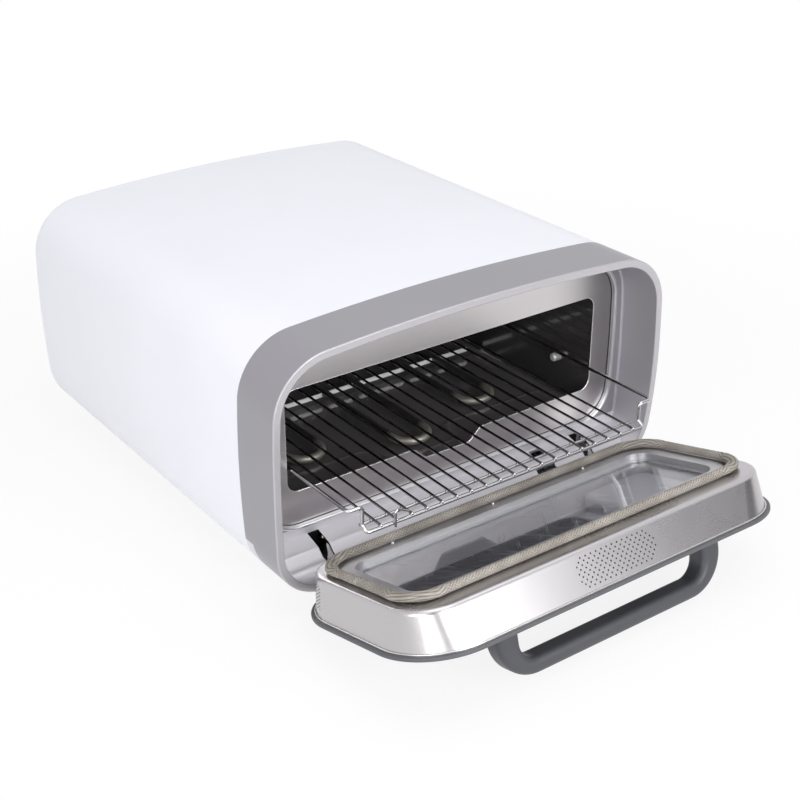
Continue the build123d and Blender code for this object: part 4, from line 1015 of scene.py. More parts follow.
@dataclass(frozen=True)
class Streaked:
    """A dark polished sheet with pale slanted bands painted as reflections, and hairline scratches."""

    colour: Colour
    smear_and_painted_reflection: Colour
    turn: float = 0.62
    painted_reflection_scale: Triple = (22.0, 4.0, 4.0)
    painted_reflection_edge: Pair = (0.50, 0.72)
    scratch_scale: Triple = (900.0, 12.0, 12.0)
    cross_scale: Triple = (14.0, 800.0, 14.0)
    cross_turn: Triple = (0.1, 0.0, -0.3)
    scratch_edges: tuple[Pair, Pair] = ((0.66, 0.72), (0.7, 0.76))
    relief: float = 0.06

    def make(self, name: str) -> bpy.types.Material:
        """Builds the material: noise stretched along a slant makes broad painted reflections and, finer, the
        scratches.
        """
        sheet = Sheet(name)
        turn = (0.0, 0.0, self.turn)
        broad = sheet.noise(sheet.stretched(self.painted_reflection_scale, turn), 1.0, 3.0, 0.6)
        fine = sheet.noise(sheet.stretched(self.scratch_scale, turn), 1.0, 2.0)
        cross = sheet.noise(sheet.stretched(self.cross_scale, self.cross_turn), 1.0, 2.0)
        scratch = fine.step(*self.scratch_edges[0]).high(cross.step(*self.scratch_edges[1]))
        # Painted reflection: the broad pale slanted bands.
        pale = broad.step(*self.painted_reflection_edge) * 0.6 + scratch * 0.5
        return sheet.surface(
            Base_Color=sheet.mix(pale.low(1.0), self.colour, self.smear_and_painted_reflection),
            Roughness=broad * 0.15 + 0.08 + scratch * 0.2,
            Metallic=0.35,
            Coat_Weight=0.6,
            Coat_Roughness=0.05,
            Normal=sheet.bump(scratch, self.relief, Depth.HAIRLINE),
        )


@dataclass
class Assembly:
    """What every sub-assembly shares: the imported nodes, the drawing's origin, and how pieces are added."""

    frame: dict
    datum: Datum

    def dress(self, name: str, finish: Finish, *nodes: str) -> bpy.types.Material:
        """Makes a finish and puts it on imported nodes.

        Args:
            name: The material's name.
            finish: What makes it.
            *nodes: The nodes that get it.

        Returns:
            The material, for pieces that share it.
        """
        material = finish.make(name)
        for node in nodes:
            for place in self.frame["nodes"][node].material_slots:
                place.material = material
        LOG.info("%s on %s", name, ", ".join(nodes) or "new pieces")
        return material

    def cluster(self, centres: Array, radii: Triple) -> Skin:
        """Beads at the given places of the drawing."""
        x, y, z = np.moveaxis(beads(centres, radii), -1, 0)
        return Skin.grid(self.datum.spread(x, y, z))

    def add(
        self, name: str, skin: Skin, material: bpy.types.Material, body: Carrier, slot: str, stands_for: str = ""
    ) -> bpy.types.Object:
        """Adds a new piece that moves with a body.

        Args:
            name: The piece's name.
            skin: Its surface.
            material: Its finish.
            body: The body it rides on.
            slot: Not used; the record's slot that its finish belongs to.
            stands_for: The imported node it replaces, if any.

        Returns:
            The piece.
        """
        made = skin.mesh(name)
        made.data.materials.append(material)
        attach(made, body.value)
        if stands_for:
            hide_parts(stands_for)
        LOG.info("%s: %d faces, rides on %s", name, len(made.data.polygons), body.value)
        return made


@dataclass
class Body(Assembly):
    """The white wrap with its rear, feet and what stands behind the cavity."""

    white: Colour = (0.825, 0.825, 0.885)

    def build(self) -> None:
        """Dresses the wrap, the rear and the hidden works."""
        self.dress("white_coat", Coat(self.white, 0.42), "outer_shell", "rear_panel")
        self.dress("rear_screw_zinc", Bright((0.66, 0.65, 0.63), 0.18), "rear_panel_screws", "foot_screws")
        self.dress("zinc_sheet", Bright((0.5, 0.5, 0.5), 0.38), "chassis_rail_left", "chassis_rail_right")
        self.dress("wool", Fibre((0.62, 0.58, 0.42), (0.86, 0.83, 0.70), 300.0), "insulation_blanket")
        self.dress("power_board_green", Board(), "power_board")
        self.dress(
            "black_moulding",
            Moulded((0.025, 0.025, 0.025), 0.5),
            "door_switch", "fan_housing", "fan_rotor", "cord_gland", "thermal_cutout",
        )
        self.dress(
            "foot_rubber",
            Moulded((0.025, 0.025, 0.025), 0.75, texture=800.0),
            *(f"{end}_foot_{side}" for end in ("front", "rear") for side in ("left", "right")),
        )


@dataclass
class Mouth(Assembly):
    """The ring, the brushed front panel, and the fine lines where they meet. Sizes in millimetres.

    Each fine line's place is how far outside its outline it runs, how far behind the panel's face, and its radius.
    """

    seat_width: float = 423.0
    seat_low: float = 53.5
    seat_high: float = 239.0
    seat_crowns: Pair = (1.0, 8.0)
    seat_bulge: float = 3.0
    seat_radii: Pair = (35.0, 45.0)
    panel_front: float = 52.6
    opening_half: float = 185.3
    opening_low: float = 90.0
    opening_high: float = 194.4
    opening_r: float = 12.0
    notch_top_half: float = 41.0
    notch_low_half: float = 27.0
    notch_low: float = 77.0
    notch_r: float = 8.0
    seat_steps: int = 900
    opening_steps: int = 1100
    trim_place: Triple = (-0.8, -1.0, 0.9)
    roll_place: Triple = (0.7, -2.7, 2.2)
    painted_shadow_place: Triple = (-2.0, -0.1, 0.4)
    edge_place: Triple = (0.0, 0.6, 0.66)

    def seat(self) -> Outline:
        """The outline of the ring's opening that seats the panel."""
        return Outline.crowned(
            self.seat_width, self.seat_low, self.seat_high, self.seat_crowns, self.seat_bulge, self.seat_radii
        )

    def opening(self) -> Outline:
        """The outline of the oven's mouth, with the dip in its lower edge."""
        corners = (
            (-self.opening_half, self.opening_low),
            (-self.notch_top_half, self.opening_low),
            (-self.notch_low_half, self.notch_low),
            (self.notch_low_half, self.notch_low),
            (self.notch_top_half, self.opening_low),
            (self.opening_half, self.opening_low),
            (self.opening_half, self.opening_high),
            (-self.opening_half, self.opening_high),
        )
        big, small = self.opening_r, self.notch_r
        return Outline.rounded(corners, (big, small, small, small, small, big, big, big))

    def bead(self, line: Outline, steps: int, out: float, behind: float, radius: float) -> Skin:
        """A round bead along a line of the front.

        Args:
            line: The line it follows.
            steps: Points along it.
            out: How far outside the line its middle runs.
            behind: How far behind the panel's face its middle runs.
            radius: Its radius.

        Returns:
            The bead.
        """
        across, deep = ring_section(radius, radius, 10)
        x, z, y = line.spaced(steps).carry(across + out, deep + (self.panel_front + behind))
        return Skin.grid(self.datum.spread(x, y, z))

    def build(self) -> None:
        """Dresses the ring and the panel, and lays the trim, a painted shadow line in the gap and the mouth's raw
        edge.
        """
        # The inner, sill and lip colours are painted light; the shadow colour in the slots is painted shade.
        satin = Satin(
            colour=(0.315, 0.307, 0.333),
            inner=(0.47, 0.458, 0.495),
            sill=(0.68, 0.668, 0.705),
            lip=(0.45, 0.438, 0.465),
            roughness=0.36,
            front=self.datum.front,
            underside=self.datum.underside,
        )
        self.dress("ring_satin", satin, "front_ring")
        # Painted shade towards the panel's right and painted light towards its bottom.
        steel = Brushed(
            colour=(0.64, 0.615, 0.62),
            roughness=0.30,
            relief=0.16,
            streak=0.1,
            painted_shade_x=(0.12, 0.20),
            painted_light_z=(self.datum.underside + 0.100, self.datum.underside + 0.070),
        )
        self.dress("panel_steel", steel, "front_panel")
        bright = self.dress("edge_steel", Bright((0.86, 0.86, 0.87), 0.16))
        # Painted shadow: a dark bead stands for the shade in the gap between the ring and the panel.
        gap = self.dress("gap_dark", Moulded((0.02, 0.02, 0.02), 0.6))
        trim = self.dress("trim_satin", Bright((0.74, 0.74, 0.76), 0.24))
        seat, edge = (self.seat(), self.seat_steps), (self.opening(), self.opening_steps)
        for name, line, place, material, slot in (
            ("seat_trim", seat, self.trim_place, trim, "ring_grey"),
            ("seat_roll", seat, self.roll_place, trim, "ring_grey"),
            ("seat_gap", seat, self.painted_shadow_place, gap, "black_plastic"),
            ("mouth_edge", edge, self.edge_place, bright, "brushed_panel"),
        ):
            self.add(name, self.bead(*line, *place), material, Carrier.OVEN, slot)


@dataclass
class Cavity(Assembly):
    """The enamelled cavity with its tubes, supports, pegs and the pressed edge of its raised floor.

    Sizes in millimetres.
    """

    wall_x: float = 186.9
    shelf_front_y: float = 56.0
    shelf_rear_y: float = 122.0
    shelf_z: float = 61.0
    bay_y: float = 88.0
    bay_half: float = 46.0
    bay_r: float = 16.0
    shelf_r: float = 2.0
    crease_half: float = 3.0
    crease_rise: float = 1.5
    crease_steps: int = 700
    floor_z: float = 64.0
    strip_z: float = 76.2
    middle_bend_y: float = 118.5
    side_bend_y: float = 150.5
    # Paler colour of the cavity floor and its crease: painted light.
    wear_and_painted_light: Colour = (0.17, 0.16, 0.165)

    def build(self) -> None:
        """Dresses the liner and what it carries."""
        floor_z = self.datum.underside + self.floor_z * MM
        # Painted light: the cavity floor is paler than its walls.
        enamel_with_painted_shading = Enamel((0.036, 0.033, 0.034), self.wear_and_painted_light, (0.32, 0.31, 0.30), floor_z)
        self.dress("cavity_enamel", enamel_with_painted_shading, "cavity_liner")
        # Painted highlight: the crease along the raised floor's edge is pale.
        wear_and_painted_light = self.dress("worn_crease", Coat(self.wear_and_painted_light, 0.2, gloss=1.0))
        low, high = self.shelf_front_y, self.shelf_rear_y
        corners = (
            (-self.wall_x, low), (self.wall_x, low), (self.wall_x, high), (self.bay_half, high),
            (self.bay_half, self.bay_y), (-self.bay_half, self.bay_y), (-self.bay_half, high), (-self.wall_x, high),
        )
        radii = (self.shelf_r,) * 3 + (self.bay_r,) * 4 + (self.shelf_r,)
        line = Outline.rounded(corners, radii).spaced(self.crease_steps)
        across, tall = ring_section(self.crease_half, self.crease_rise, 12)
        x, y, z = line.carry(across, tall + self.shelf_z)
        self.add("shelf_crease", Skin.grid(self.datum.spread(x, y, z)), wear_and_painted_light, Carrier.OVEN, "cavity_enamel")
        # The second colour is the painted highlight round the bends.
        sheath = Sheath(
            (0.14, 0.133, 0.13), (0.56, 0.53, 0.47), self.datum.front, self.middle_bend_y * MM, self.side_bend_y * MM
        )
        self.dress("tube_sheath", sheath, *(f"{level}_tube_{side}" for level in ("lower", "upper") for side in SIDES))
        # Painted shade: the supports are dark below their bare top band.
        strip = Strip((0.93, 0.93, 0.94), (0.04, 0.037, 0.037), self.strip_z * MM)
        self.dress("support_steel", strip, "tube_supports")
        self.dress("peg_steel", Coat((0.62, 0.61, 0.62), 0.3, metallic=0.4), "rack_pegs", "temperature_probe")
        self.dress("ceramic", Moulded((0.80, 0.78, 0.73), 0.3, relief=0.04), "tube_terminals")


@dataclass
class Rack(Assembly):
    """The chromed rack: its wires' rounded tips and the weld beads on its bars. Sizes in millimetres."""

    pitch: float = 16.85
    each_side: int = 9
    wire_z: float = 95.65
    wire_ends: Pair = (-47.3, 291.3)
    tip_r: float = 1.5
    weld_rows: tuple[float, ...] = (-46.0, -32.0, 276.0, 290.0)
    weld_z: float = 94.3
    weld_radii: Triple = (1.9, 2.1, 1.2)

    def centres(self, rows: Sequence[float], z: float) -> Array:
        """The places where every wire crosses the given rows: all x with all y, at one height."""
        x, y = np.meshgrid(self.pitch * np.arange(-self.each_side, self.each_side + 1), np.array(rows))
        return np.stack([x.ravel(), y.ravel(), np.full(x.size, z)], axis=-1)

    def build(self) -> None:
        """Dresses the rack and adds the tips and the welds."""
        # Painted shade: the wires' chrome is a darker copy of the bars' chrome.
        self.dress("wire_chrome", Bright((0.38, 0.375, 0.38), 0.10), "rack_wires")
        chrome = self.dress(
            "bar_chrome", Bright((0.60, 0.595, 0.60), 0.09), "rack_frame", "rack_cross_bars", "rack_hook"
        )
        tips = self.cluster(self.centres(self.wire_ends, self.wire_z), (self.tip_r,) * 3)
        self.add("wire_tips", tips, chrome, Carrier.RACK, "chrome_wire")
        welds = self.cluster(self.centres(self.weld_rows, self.weld_z), self.weld_radii)
        self.add("wire_welds", welds, chrome, Carrier.RACK, "chrome_wire")


@dataclass
class Door(Assembly):
    """The open door: pan, glasses, braided gasket with its tie, rim and hinge arms. Sizes in millimetres."""

    gasket_width: float = 394.0
    gasket_height: float = 144.0
    gasket_r: float = 31.4
    gasket_v: float = -2.5
    gasket_w: float = 44.6
    gasket_half_up: float = 3.8
    gasket_half_out: float = 3.75
    corner_spread: float = 1.9
    corner_blend: float = 26.0
    yarns: int = 8
    straight_pitch: float = 3.4
    corner_pitch: float = 26.0
    relief: float = 0.62
    relief_mean: float = 0.6
    steps: int = 1950
    around: int = 50
    tie_v: tuple[float, ...] = (-9.0, -8.0, -7.0)
    tie_wire: float = 0.4
    tie_seat: float = 0.6
    tie_flat: float = 0.4
    pan_width: float = 432.0
    pan_height: float = 206.8
    pan_r: float = 60.0
    hem_r: float = 0.8
    hem_out: float = 0.6
    hem_w: float = 4.5
    hem_steps: int = 700
    pins: tuple[Triple, ...] = ((-157.0, 40.6, 40.0), (168.0, 40.6, 40.0))
    pin_radii: Triple = (1.3, 1.8, 1.8)
    vent_pitch: float = 6.1
    vent_grid: tuple[int, int] = (15, 9)
    vent_patch: Triple = (46.0, 13.75, 11.0)
    vent_x: float = -1.5
    vent_w: float = 21.5
    vent_end_grid: tuple[int, int] = (5, 7)
    vent_end_v: float = -62.0
    vent_sunk: float = 0.36
    vent_bead: Pair = (0.95, 0.35)
    pan_foot: float = 3.6
    end_draft: float = 12.3 / 36.4
    side_draft: float = 7.75 / 36.4
    corner_draft: float = 21.0 / 36.4
    pad_edges: Pair = (-156.8, 168.2)
    pad_half: float = 4.1
    pad_radii: Triple = (9.0, 13.4, 23.8)
    pad_slope: float = 7.3 / 7.7
    pad_angles: Pair = (64.0, 170.0)
    pad_tip: float = 0.35
    pad_growth: float = 0.7

    def leaf(self) -> Leaf:
        """The door's own frame."""
        return Leaf(self.datum)

    def corner_share(self, points: Array) -> Array:
        """How far each point of the gasket's line lies in a corner.

        Each coordinate rises smoothly from zero to one about the place where the corner's round begins, and the
        share is the product of the two.
        """
        spans = np.array([self.gasket_width, self.gasket_height]) / 2 - self.gasket_r
        rise = np.clip((np.abs(points) - spans + self.corner_blend / 2) / self.corner_blend, 0.0, 1.0)
        rise = rise * rise * (3 - 2 * rise)
        return rise[:, 0] * rise[:, 1]

    def gasket(self) -> Skin:
        """The braided gasket as one surface of two parameters, the way along it and the angle round it.

        The section is an ellipse that widens in the corners. Two families of yarns are counted by p and q, the
        angle's share of all yarns plus and minus a phase that grows along the line, slower in the corners, where
        the yarns lie nearly lengthwise. The family on top follows a two-over-two-under rule, and the surface
        rises by the root of the sine of half a turn of the top yarn's own fraction.
        """
        line = Outline.rectangle(self.gasket_width, self.gasket_height, self.gasket_r).spaced(self.steps)
        share = self.corner_share(line.points)
        share = np.append(share, share[0])
        step = line.length() / self.steps
        rate = (1 - share) / self.straight_pitch + share / self.corner_pitch
        phase = np.concatenate([[0.0], np.cumsum((rate[1:] + rate[:-1]) / 2 * step)])
        phase *= 2 * round(phase[-1] / 2) / phase[-1]
        angle = np.linspace(0.0, FULL_TURN, self.around + 1)
        count = np.broadcast_to(self.yarns * angle / FULL_TURN, (self.steps + 1, self.around + 1))
        along = np.broadcast_to(phase[:, None], count.shape)
        p, q = count + along, count - along
        top = (np.floor(p) - np.floor(q)) % 4 < 2
        high = np.sqrt(np.where(top, np.sin(math.pi * (p % 1)), np.sin(math.pi * (q % 1))).clip(0.0))
        swell = self.relief * (high - self.relief_mean)
        out = (self.gasket_half_out + self.corner_spread * share[:, None] + swell) * np.cos(angle)
        up = (self.gasket_half_up + swell) * np.sin(angle)
        x, v, w = line.carry(out[:-1], up[:-1])
        points = self.leaf().spread(x, v + self.gasket_v, w + self.gasket_w)
        return Skin.grid(points, np.stack([count, along], axis=-1))

    def tie(self) -> Skin:
        """Turns of wire round the gasket's joint on its left straight.

        Each is a ring tube: the section's ellipse, grown by the wire's radius times its seat plus the cosine of the
        angle round the wire, and shifted along the gasket by that radius times the sine. It grows less upwards.
        """
        angle, round_wire = np.meshgrid(np.linspace(0, FULL_TURN, 49), np.linspace(0, FULL_TURN, 11), indexing="ij")
        grow = self.tie_wire * (self.tie_seat + np.cos(round_wire))
        v = np.array(self.tie_v)[:, None, None] + self.tie_wire * np.sin(round_wire)
        x = (self.gasket_half_out + grow) * np.cos(angle) - self.gasket_width / 2
        w = self.gasket_w + (self.gasket_half_up + grow * self.tie_flat) * np.sin(angle)
        return Skin.grid(self.leaf().spread(x, v, w))

    def hem(self) -> Skin:
        """A round bead round the pan's foot, carried along its rounded rectangle."""
        line = Outline.rectangle(self.pan_width, self.pan_height, self.pan_r).spaced(self.hem_steps)
        across, up = ring_section(self.hem_r, self.hem_r, 10)
        x, v, w = line.carry(across + self.hem_out, up + self.hem_w)
        return Skin.grid(self.leaf().spread(x, v, w))

    def vents(self) -> tuple[Array, Array]:
        """Where the pan's vent holes stand, a little below its drafted walls.

        Rows and columns lie half a pitch apart, every other one is shifted by half a pitch, and the front patch
        keeps the places inside its rounded rectangle. A wall draws in with the depth, by the same share all along.
        The end patches lie partly on the corners' rounds, where x falls short by the corner's radius less the root
        of its square less the square of the way past the round's start.

        Returns:
            The places in the front wall and in the two end walls, k by 3 each, as x, v and w.
        """
        step = self.vent_pitch / 2
        columns, rows = self.vent_grid
        column, row = (a.ravel() for a in np.meshgrid(np.arange(columns), np.arange(rows)))
        w = (row - (rows - 1) / 2) * step
        x = (column - (columns - 1) / 2 + 0.5 * (row % 2)) * self.vent_pitch
        half, tall, r = self.vent_patch
        dx, dw = np.abs(x) - half + r, np.abs(w) - tall + r
        kept = (dx < r) & (dw < r) & ((dx < 0) | (dw < 0) | (np.hypot(dx, dw) <= r))
        x, w = x[kept] + self.vent_x, w[kept] + self.vent_w
        front = np.stack([x, self.pan_height / 2 - self.vent_sunk - self.end_draft * (w - self.pan_foot), w], axis=-1)
        columns, rows = self.vent_end_grid
        column, row = (a.ravel() for a in np.meshgrid(np.arange(columns), np.arange(rows)))
        v = self.vent_end_v + (column - (columns - 1) / 2) * step
        w = self.vent_w + (row - (rows - 1) / 2 + 0.5 * (column % 2)) * step
        rise = w - self.pan_foot
        corner = self.pan_r - self.corner_draft * rise
        past = (np.abs(v) - self.pan_height / 2 + self.end_draft * rise + corner).clip(0.0)
        x = self.pan_width / 2 - self.side_draft * rise - corner + np.sqrt(corner**2 - past**2) - self.vent_sunk
        ends = np.concatenate([np.stack([side * x, v, w], axis=-1) for side in (-1, 1)])
        return front, ends

    def pads(self) -> Skin:
        """Curved pads on the hinge arms, a little below the sill's barrel and slope that the arms turn in.

        A pad is a squarish oval swept about the hinge axis: across and outwards it follows the signed roots of the
        cosine and the sine, and both shrink at its ends by the eighth root of one less the way along, from minus
        one to one, to the eighth power. Its outer radius is the barrel's, and on the slope the barrel's over the
        turn's sine less the slope times its cosine, up to what clears the slot's end when the door shuts. The right
        edge stays at the slot's wall, and the width grows smoothly from the tip's share at the upper end.
        """
        along, angle = np.meshgrid(np.linspace(-1, 1, 49), np.linspace(0, FULL_TURN, 33), indexing="ij")
        taper = (1 - along**8).clip(0.0) ** 0.125
        across, out = (np.sign(f) * np.sqrt(np.abs(f)) * taper for f in (np.cos(angle), np.sin(angle)))
        low, high = (math.radians(limit) for limit in self.pad_angles)
        turn = (low + high) / 2 + (high - low) / 2 * along
        inner, barrel, most = self.pad_radii
        outer = (barrel / (np.sin(turn) - self.pad_slope * np.cos(turn))).clip(barrel, most)
        radius = (inner + outer) / 2 + (outer - inner) / 2 * out
        y, z = self.leaf().hinge
        grown = ((along + 1) / self.pad_growth).clip(0.0, 1.0)
        grown = self.pad_tip + (1 - self.pad_tip) * grown * grown * (3 - 2 * grown)
        x = np.array(self.pad_edges)[:, None, None] - self.pad_half * grown * (1 - across)
        return Skin.grid(self.datum.spread(x, y + radius * np.cos(turn), z + radius * np.sin(turn)))

    def build(self) -> None:
        """Dresses the door and adds the gasket, its tie, the hem, the slots' pins, the arms' pads and painted vent
        shade.
        """
        self.dress(
            "pan_steel",
            Brushed((0.535, 0.52, 0.53), 0.28, turn=-0.27, relief=0.0, streak=0.02, patchy=0.01),
            "door_inner_pan",
        )
        self.dress("frame_satin", Bright((0.60, 0.60, 0.62), 0.38), "window_frame")
        self.dress("rim_coat", Coat((0.085, 0.087, 0.096), 0.42, peel=1800.0), "door_outer_panel")
        arms = self.dress("arm_grey", Coat((0.40, 0.395, 0.41), 0.35), "hinge_arm_left", "hinge_arm_right")
        self.dress("bracket_steel", Bright((0.30, 0.30, 0.30), 0.3), "hinge_bracket_left", "hinge_bracket_right")
        steel = self.dress(
            "plated_steel",
            Bright((0.70, 0.69, 0.67), 0.18),
            "hinge_pin_left", "hinge_pin_right", "gasket_clips", "handle_screws",
        )
        self.dress("clear_glass", Pane((0.95, 0.95, 0.97), 1.0, 0.03), "inner_glass")
        # Painted reflections on the outer glass.
        self.dress("outer_glass_dark", Streaked((0.10, 0.10, 0.11), (0.42, 0.43, 0.45)), "outer_glass")
        self.dress("core_moulding", Moulded((0.50, 0.50, 0.53), 0.45), "door_core", "control_housing")
        self.dress(
            "slate_moulding",
            Moulded((0.054, 0.055, 0.064), 0.42),
            "door_handle", "temperature_knob", "timer_knob", "start_button",
        )
        self.dress("control_board_green", Board(), "control_board")
        braid = self.dress("gasket_braid", Braid((0.020, 0.017, 0.014), (0.33, 0.30, 0.262), (0.52, 0.48, 0.435)))
        self.add("gasket_braided", self.gasket(), braid, Carrier.DOOR, "gasket_braid", "door_gasket")
        wire = self.dress("tie_steel", Bright((0.42, 0.41, 0.39), 0.3))
        self.add("gasket_tie", self.tie(), wire, Carrier.DOOR, "bright_steel")
        self.add("pan_hem", self.hem(), steel, Carrier.DOOR, "pan_steel")
        pins = self.cluster(np.array(self.pins), self.pin_radii)
        self.add("slot_pins", pins, steel, Carrier.OVEN, "hinge_steel")
        self.add("arm_pads", self.pads(), arms, Carrier.DOOR, "hinge_steel")
        front, ends = self.vents()
        # Painted shade: dark beads sunk in the vent holes make the holes dark.
        shade = self.dress("vent_dark", Moulded((0.01, 0.01, 0.011), 0.9))
        wide, deep = self.vent_bead
        for name, centres, radii in (
            ("vents_front", front, (wide, deep, wide)),
            ("vents_ends", ends, (deep, wide, wide)),
        ):
            x, v, w = np.moveaxis(beads(centres, radii, 6, 10), -1, 0)
            self.add(name, Skin.grid(self.leaf().spread(x, v, w)), shade, Carrier.DOOR, "black_plastic")


class Sky(Sheet):
    """The world's node tree, filled with the same methods as a material's."""

    def __init__(self, name: str) -> None:
        """Makes an empty world with its output."""
        self.world = bpy.data.worlds.new(name)
        self.world.use_nodes = True
        self.tree = self.world.node_tree
        self.tree.nodes.clear()
        self.output = self.tree.nodes.new("ShaderNodeOutputWorld")


@dataclass(frozen=True)
class Lamp:
    """A soft rectangular lamp: where it hangs and the point it faces, in metres, its size and its power."""

    name: str
    place: Triple
    aim: Triple
    size: Pair
    watts: float

    def hang(self) -> None:
        """Adds the lamp to the scene."""
        data = bpy.data.lights.new(self.name, "AREA")
        data.shape = "RECTANGLE"
        data.size, data.size_y = self.size
        data.energy = self.watts
        lamp = bpy.data.objects.new(self.name, data)
        direction = Vector(self.aim) - Vector(self.place)
        turn = direction.to_track_quat("-Z", "Y").to_matrix().to_4x4()
        lamp.matrix_world = Matrix.Translation(Vector(self.place)) @ turn
        bpy.context.scene.collection.objects.link(lamp)


@dataclass
class Studio:
    """The camera, the lamps, the pale floor and the world.

    The lamps hang overhead, at the left, low, and in front, where the last two look into the cavity.
    """

    datum: Datum
    eye: Triple = (-759.9, -911.3, 756.5)
    yaw: float = 0.6145
    pitch: float = 0.4806
    roll: float = -0.008
    focal_px: float = 1423.9
    centre_px: Pair = (381.67, 413.62)
    frame_px: float = 800.0
    sensor_mm: float = 36.0
    lamps: tuple[Lamp, ...] = (
        Lamp("lamp_over", (0.1, -0.25, 1.9), (0.0, -0.05, 0.1), (1.9, 1.5), 11.0),
        Lamp("lamp_left", (-1.7, -0.9, 0.9), (0.0, 0.0, 0.1), (1.2, 1.4), 13.0),
        Lamp("lamp_low", (-1.3, -1.5, 0.3), (0.1, -0.1, 0.15), (0.8, 0.5), 4.0),
        Lamp("lamp_front", (0.12, -2.0, 0.85), (0.0, 0.0, 0.1), (1.5, 1.1), 27.0),
    )
    sky_strength: float = 0.72
    dark_sides: tuple[tuple[float, ...], ...] = (
        (-0.51, -0.72, 0.46, 0.86, 0.97),
        (0.80, -0.58, 0.15, 0.925, 0.965),
    )
    sky_levels: tuple[Pair, ...] = ((0.0, 0.55), (0.47, 0.42), (0.56, 0.62), (0.8, 0.8), (1.0, 0.7))
    shine_pale: Colour = (0.95, 0.95, 0.96)
    shine_dark: Colour = (0.16, 0.16, 0.17)
    floor_grey: Colour = (0.86, 0.86, 0.86)
    floor_glow: float = 0.86
    floor_reach: float = 6.0
    floor_fade: Pair = (0.45, 1.1)

    def camera(self) -> None:
        """Puts the camera where the photograph was taken from.

        Forward is (sin yaw cos pitch, cos yaw cos pitch, -sin pitch); right is level, and both right and up are
        turned by the roll about forward.
        """
        forward = Vector(
            (
                math.sin(self.yaw) * math.cos(self.pitch),
                math.cos(self.yaw) * math.cos(self.pitch),
                -math.sin(self.pitch),
            )
        )
        right = Vector((math.cos(self.yaw), -math.sin(self.yaw), 0.0))
        up = right.cross(forward)
        cosine, sine = math.cos(self.roll), math.sin(self.roll)
        right, up = cosine * right + sine * up, cosine * up - sine * right
        data = bpy.data.cameras.new("camera")
        data.sensor_fit = "HORIZONTAL"
        data.sensor_width = self.sensor_mm
        data.lens = self.focal_px * self.sensor_mm / self.frame_px
        data.shift_x = (self.frame_px / 2 - self.centre_px[0]) / self.frame_px
        data.shift_y = (self.centre_px[1] - self.frame_px / 2) / self.frame_px
        data.clip_start = 0.02
        camera = bpy.data.objects.new("camera", data)
        turn = Matrix((right, up, -forward)).transposed().to_4x4()
        camera.matrix_world = Matrix.Translation(Vector(self.datum.spread(*self.eye))) @ turn
        bpy.context.scene.collection.objects.link(camera)
        bpy.context.scene.camera = camera

    def world(self) -> None:
        """A pale surround that shows as white to the camera.

        The level follows the height of the direction. Metal sees a brighter surround with two dark sides, the
        room behind the camera and one at the right. The share of dark rises between two values of the product of
        the direction with a side's own.
        """
        sky = Sky("surround")
        x, y, z = sky.split(sky.node("ShaderNodeTexCoord", out="Generated"))
        grey = [(spot, (level, level, level * 1.01)) for spot, level in self.sky_levels]
        ramp = sky.node("ShaderNodeValToRGB", {"stops": grey}, {0: z * 0.5 + 0.5})
        dark: Sock | float = 0.0
        for *side, start, end in self.dark_sides:
            reach = math.sqrt(sum(part * part for part in side))
            a, b, c = (part / reach for part in side)
            dark = (x * a + y * b + z * c).step(start, end) + dark
        soft = sky.node("ShaderNodeBackground", None, {0: ramp, 1: self.sky_strength})
        sides = sky.mix(dark.low(1.0), self.shine_pale, self.shine_dark)
        shine = sky.node("ShaderNodeBackground", None, {0: sides, 1: 1.0})
        white = sky.node("ShaderNodeBackground", None, {0: (1.0, 1.0, 1.0), 1: 1.0})
        rays = sky.tree.nodes.new("ShaderNodeLightPath")
        seen = Sock(sky, rays.outputs["Is Camera Ray"]).high(Sock(sky, rays.outputs["Is Transmission Ray"]))
        lit = sky.node("ShaderNodeMixShader", None, {0: Sock(sky, rays.outputs["Is Glossy Ray"]), 1: soft, 2: shine})
        both = sky.node("ShaderNodeMixShader", None, {0: seen, 1: lit, 2: white})
        sky.tree.links.new(both.link, sky.output.inputs["Surface"])
        bpy.context.scene.world = sky.world

    def floor(self) -> None:
        """A round pale floor that takes a faint shadow in its middle and fades to plain white.

        It is one surface of two parameters: the radius, which grows as the square of the step, and the angle.
        """
        share, angle = np.meshgrid(np.linspace(0, 1, 25), np.linspace(0, FULL_TURN, 97), indexing="ij")
        radius = self.floor_reach * share**2
        points = np.stack([radius * np.cos(angle), radius * np.sin(angle), 0 * radius], axis=-1)
        floor = Skin.grid(points).mesh("floor")
        sheet = Sheet("floor_white")
        x, y, _ = sheet.split(sheet.coordinates())
        reach = (x * x + y * y).power(0.5)
        rays = sheet.tree.nodes.new("ShaderNodeLightPath")
        seen = Sock(sheet, rays.outputs["Is Camera Ray"])
        for kind in ("Is Glossy Ray", "Is Transmission Ray"):
            seen = seen.high(Sock(sheet, rays.outputs[kind]))
        matt = sheet.node("ShaderNodeBsdfDiffuse", None, {"Color": self.floor_grey})
        glow = sheet.node("ShaderNodeEmission", None, {"Color": (1.0, 1.0, 1.0), "Strength": 1.0})
        share = (reach.step(*self.floor_fade) * (1.0 - self.floor_glow) + self.floor_glow) * seen
        both = sheet.node("ShaderNodeMixShader", None, {0: share, 1: matt, 2: glow})
        sheet.tree.links.new(both.link, sheet.output.inputs["Surface"])
        floor.data.materials.append(sheet.material)

    def build(self) -> None:
        """Sets up everything that isn't part of the oven."""
        bpy.context.scene.view_settings.view_transform = "Standard"
        self.camera()
        for lamp in self.lamps:
            lamp.hang()
        self.world()
        self.floor()


def main() -> None:
    """Loads the frame, builds each sub-assembly in order and sets up the studio."""
    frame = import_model()
    datum = Datum.read()
    for kind in (Body, Mouth, Cavity, Rack, Door):
        kind(frame, datum).build()
        LOG.info("%s is done", kind.__name__)
    Studio(datum).build()


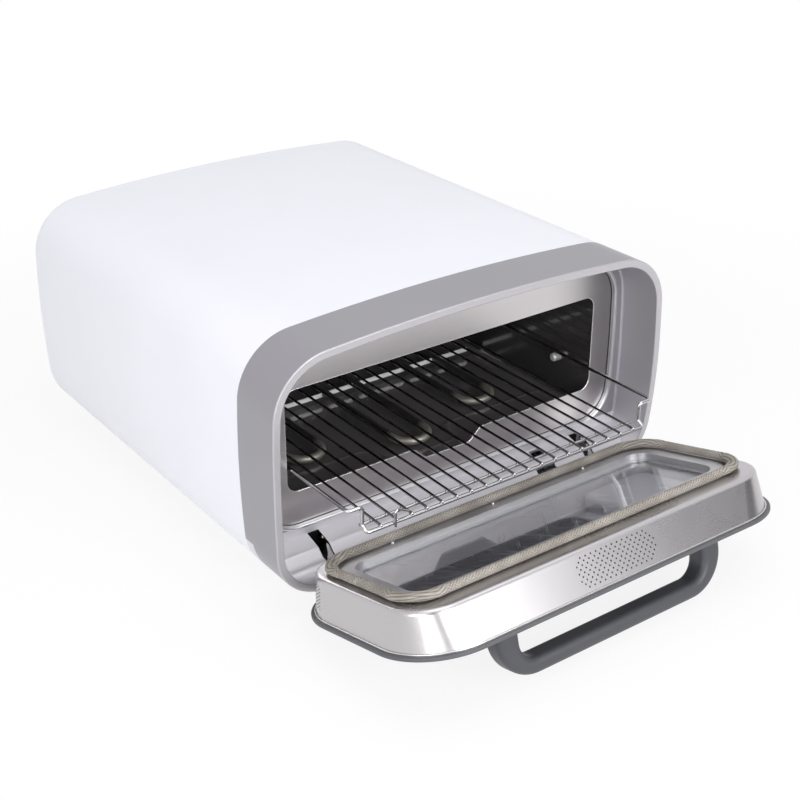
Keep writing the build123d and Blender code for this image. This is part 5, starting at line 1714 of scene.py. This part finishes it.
if __name__ == "__main__":
    main()
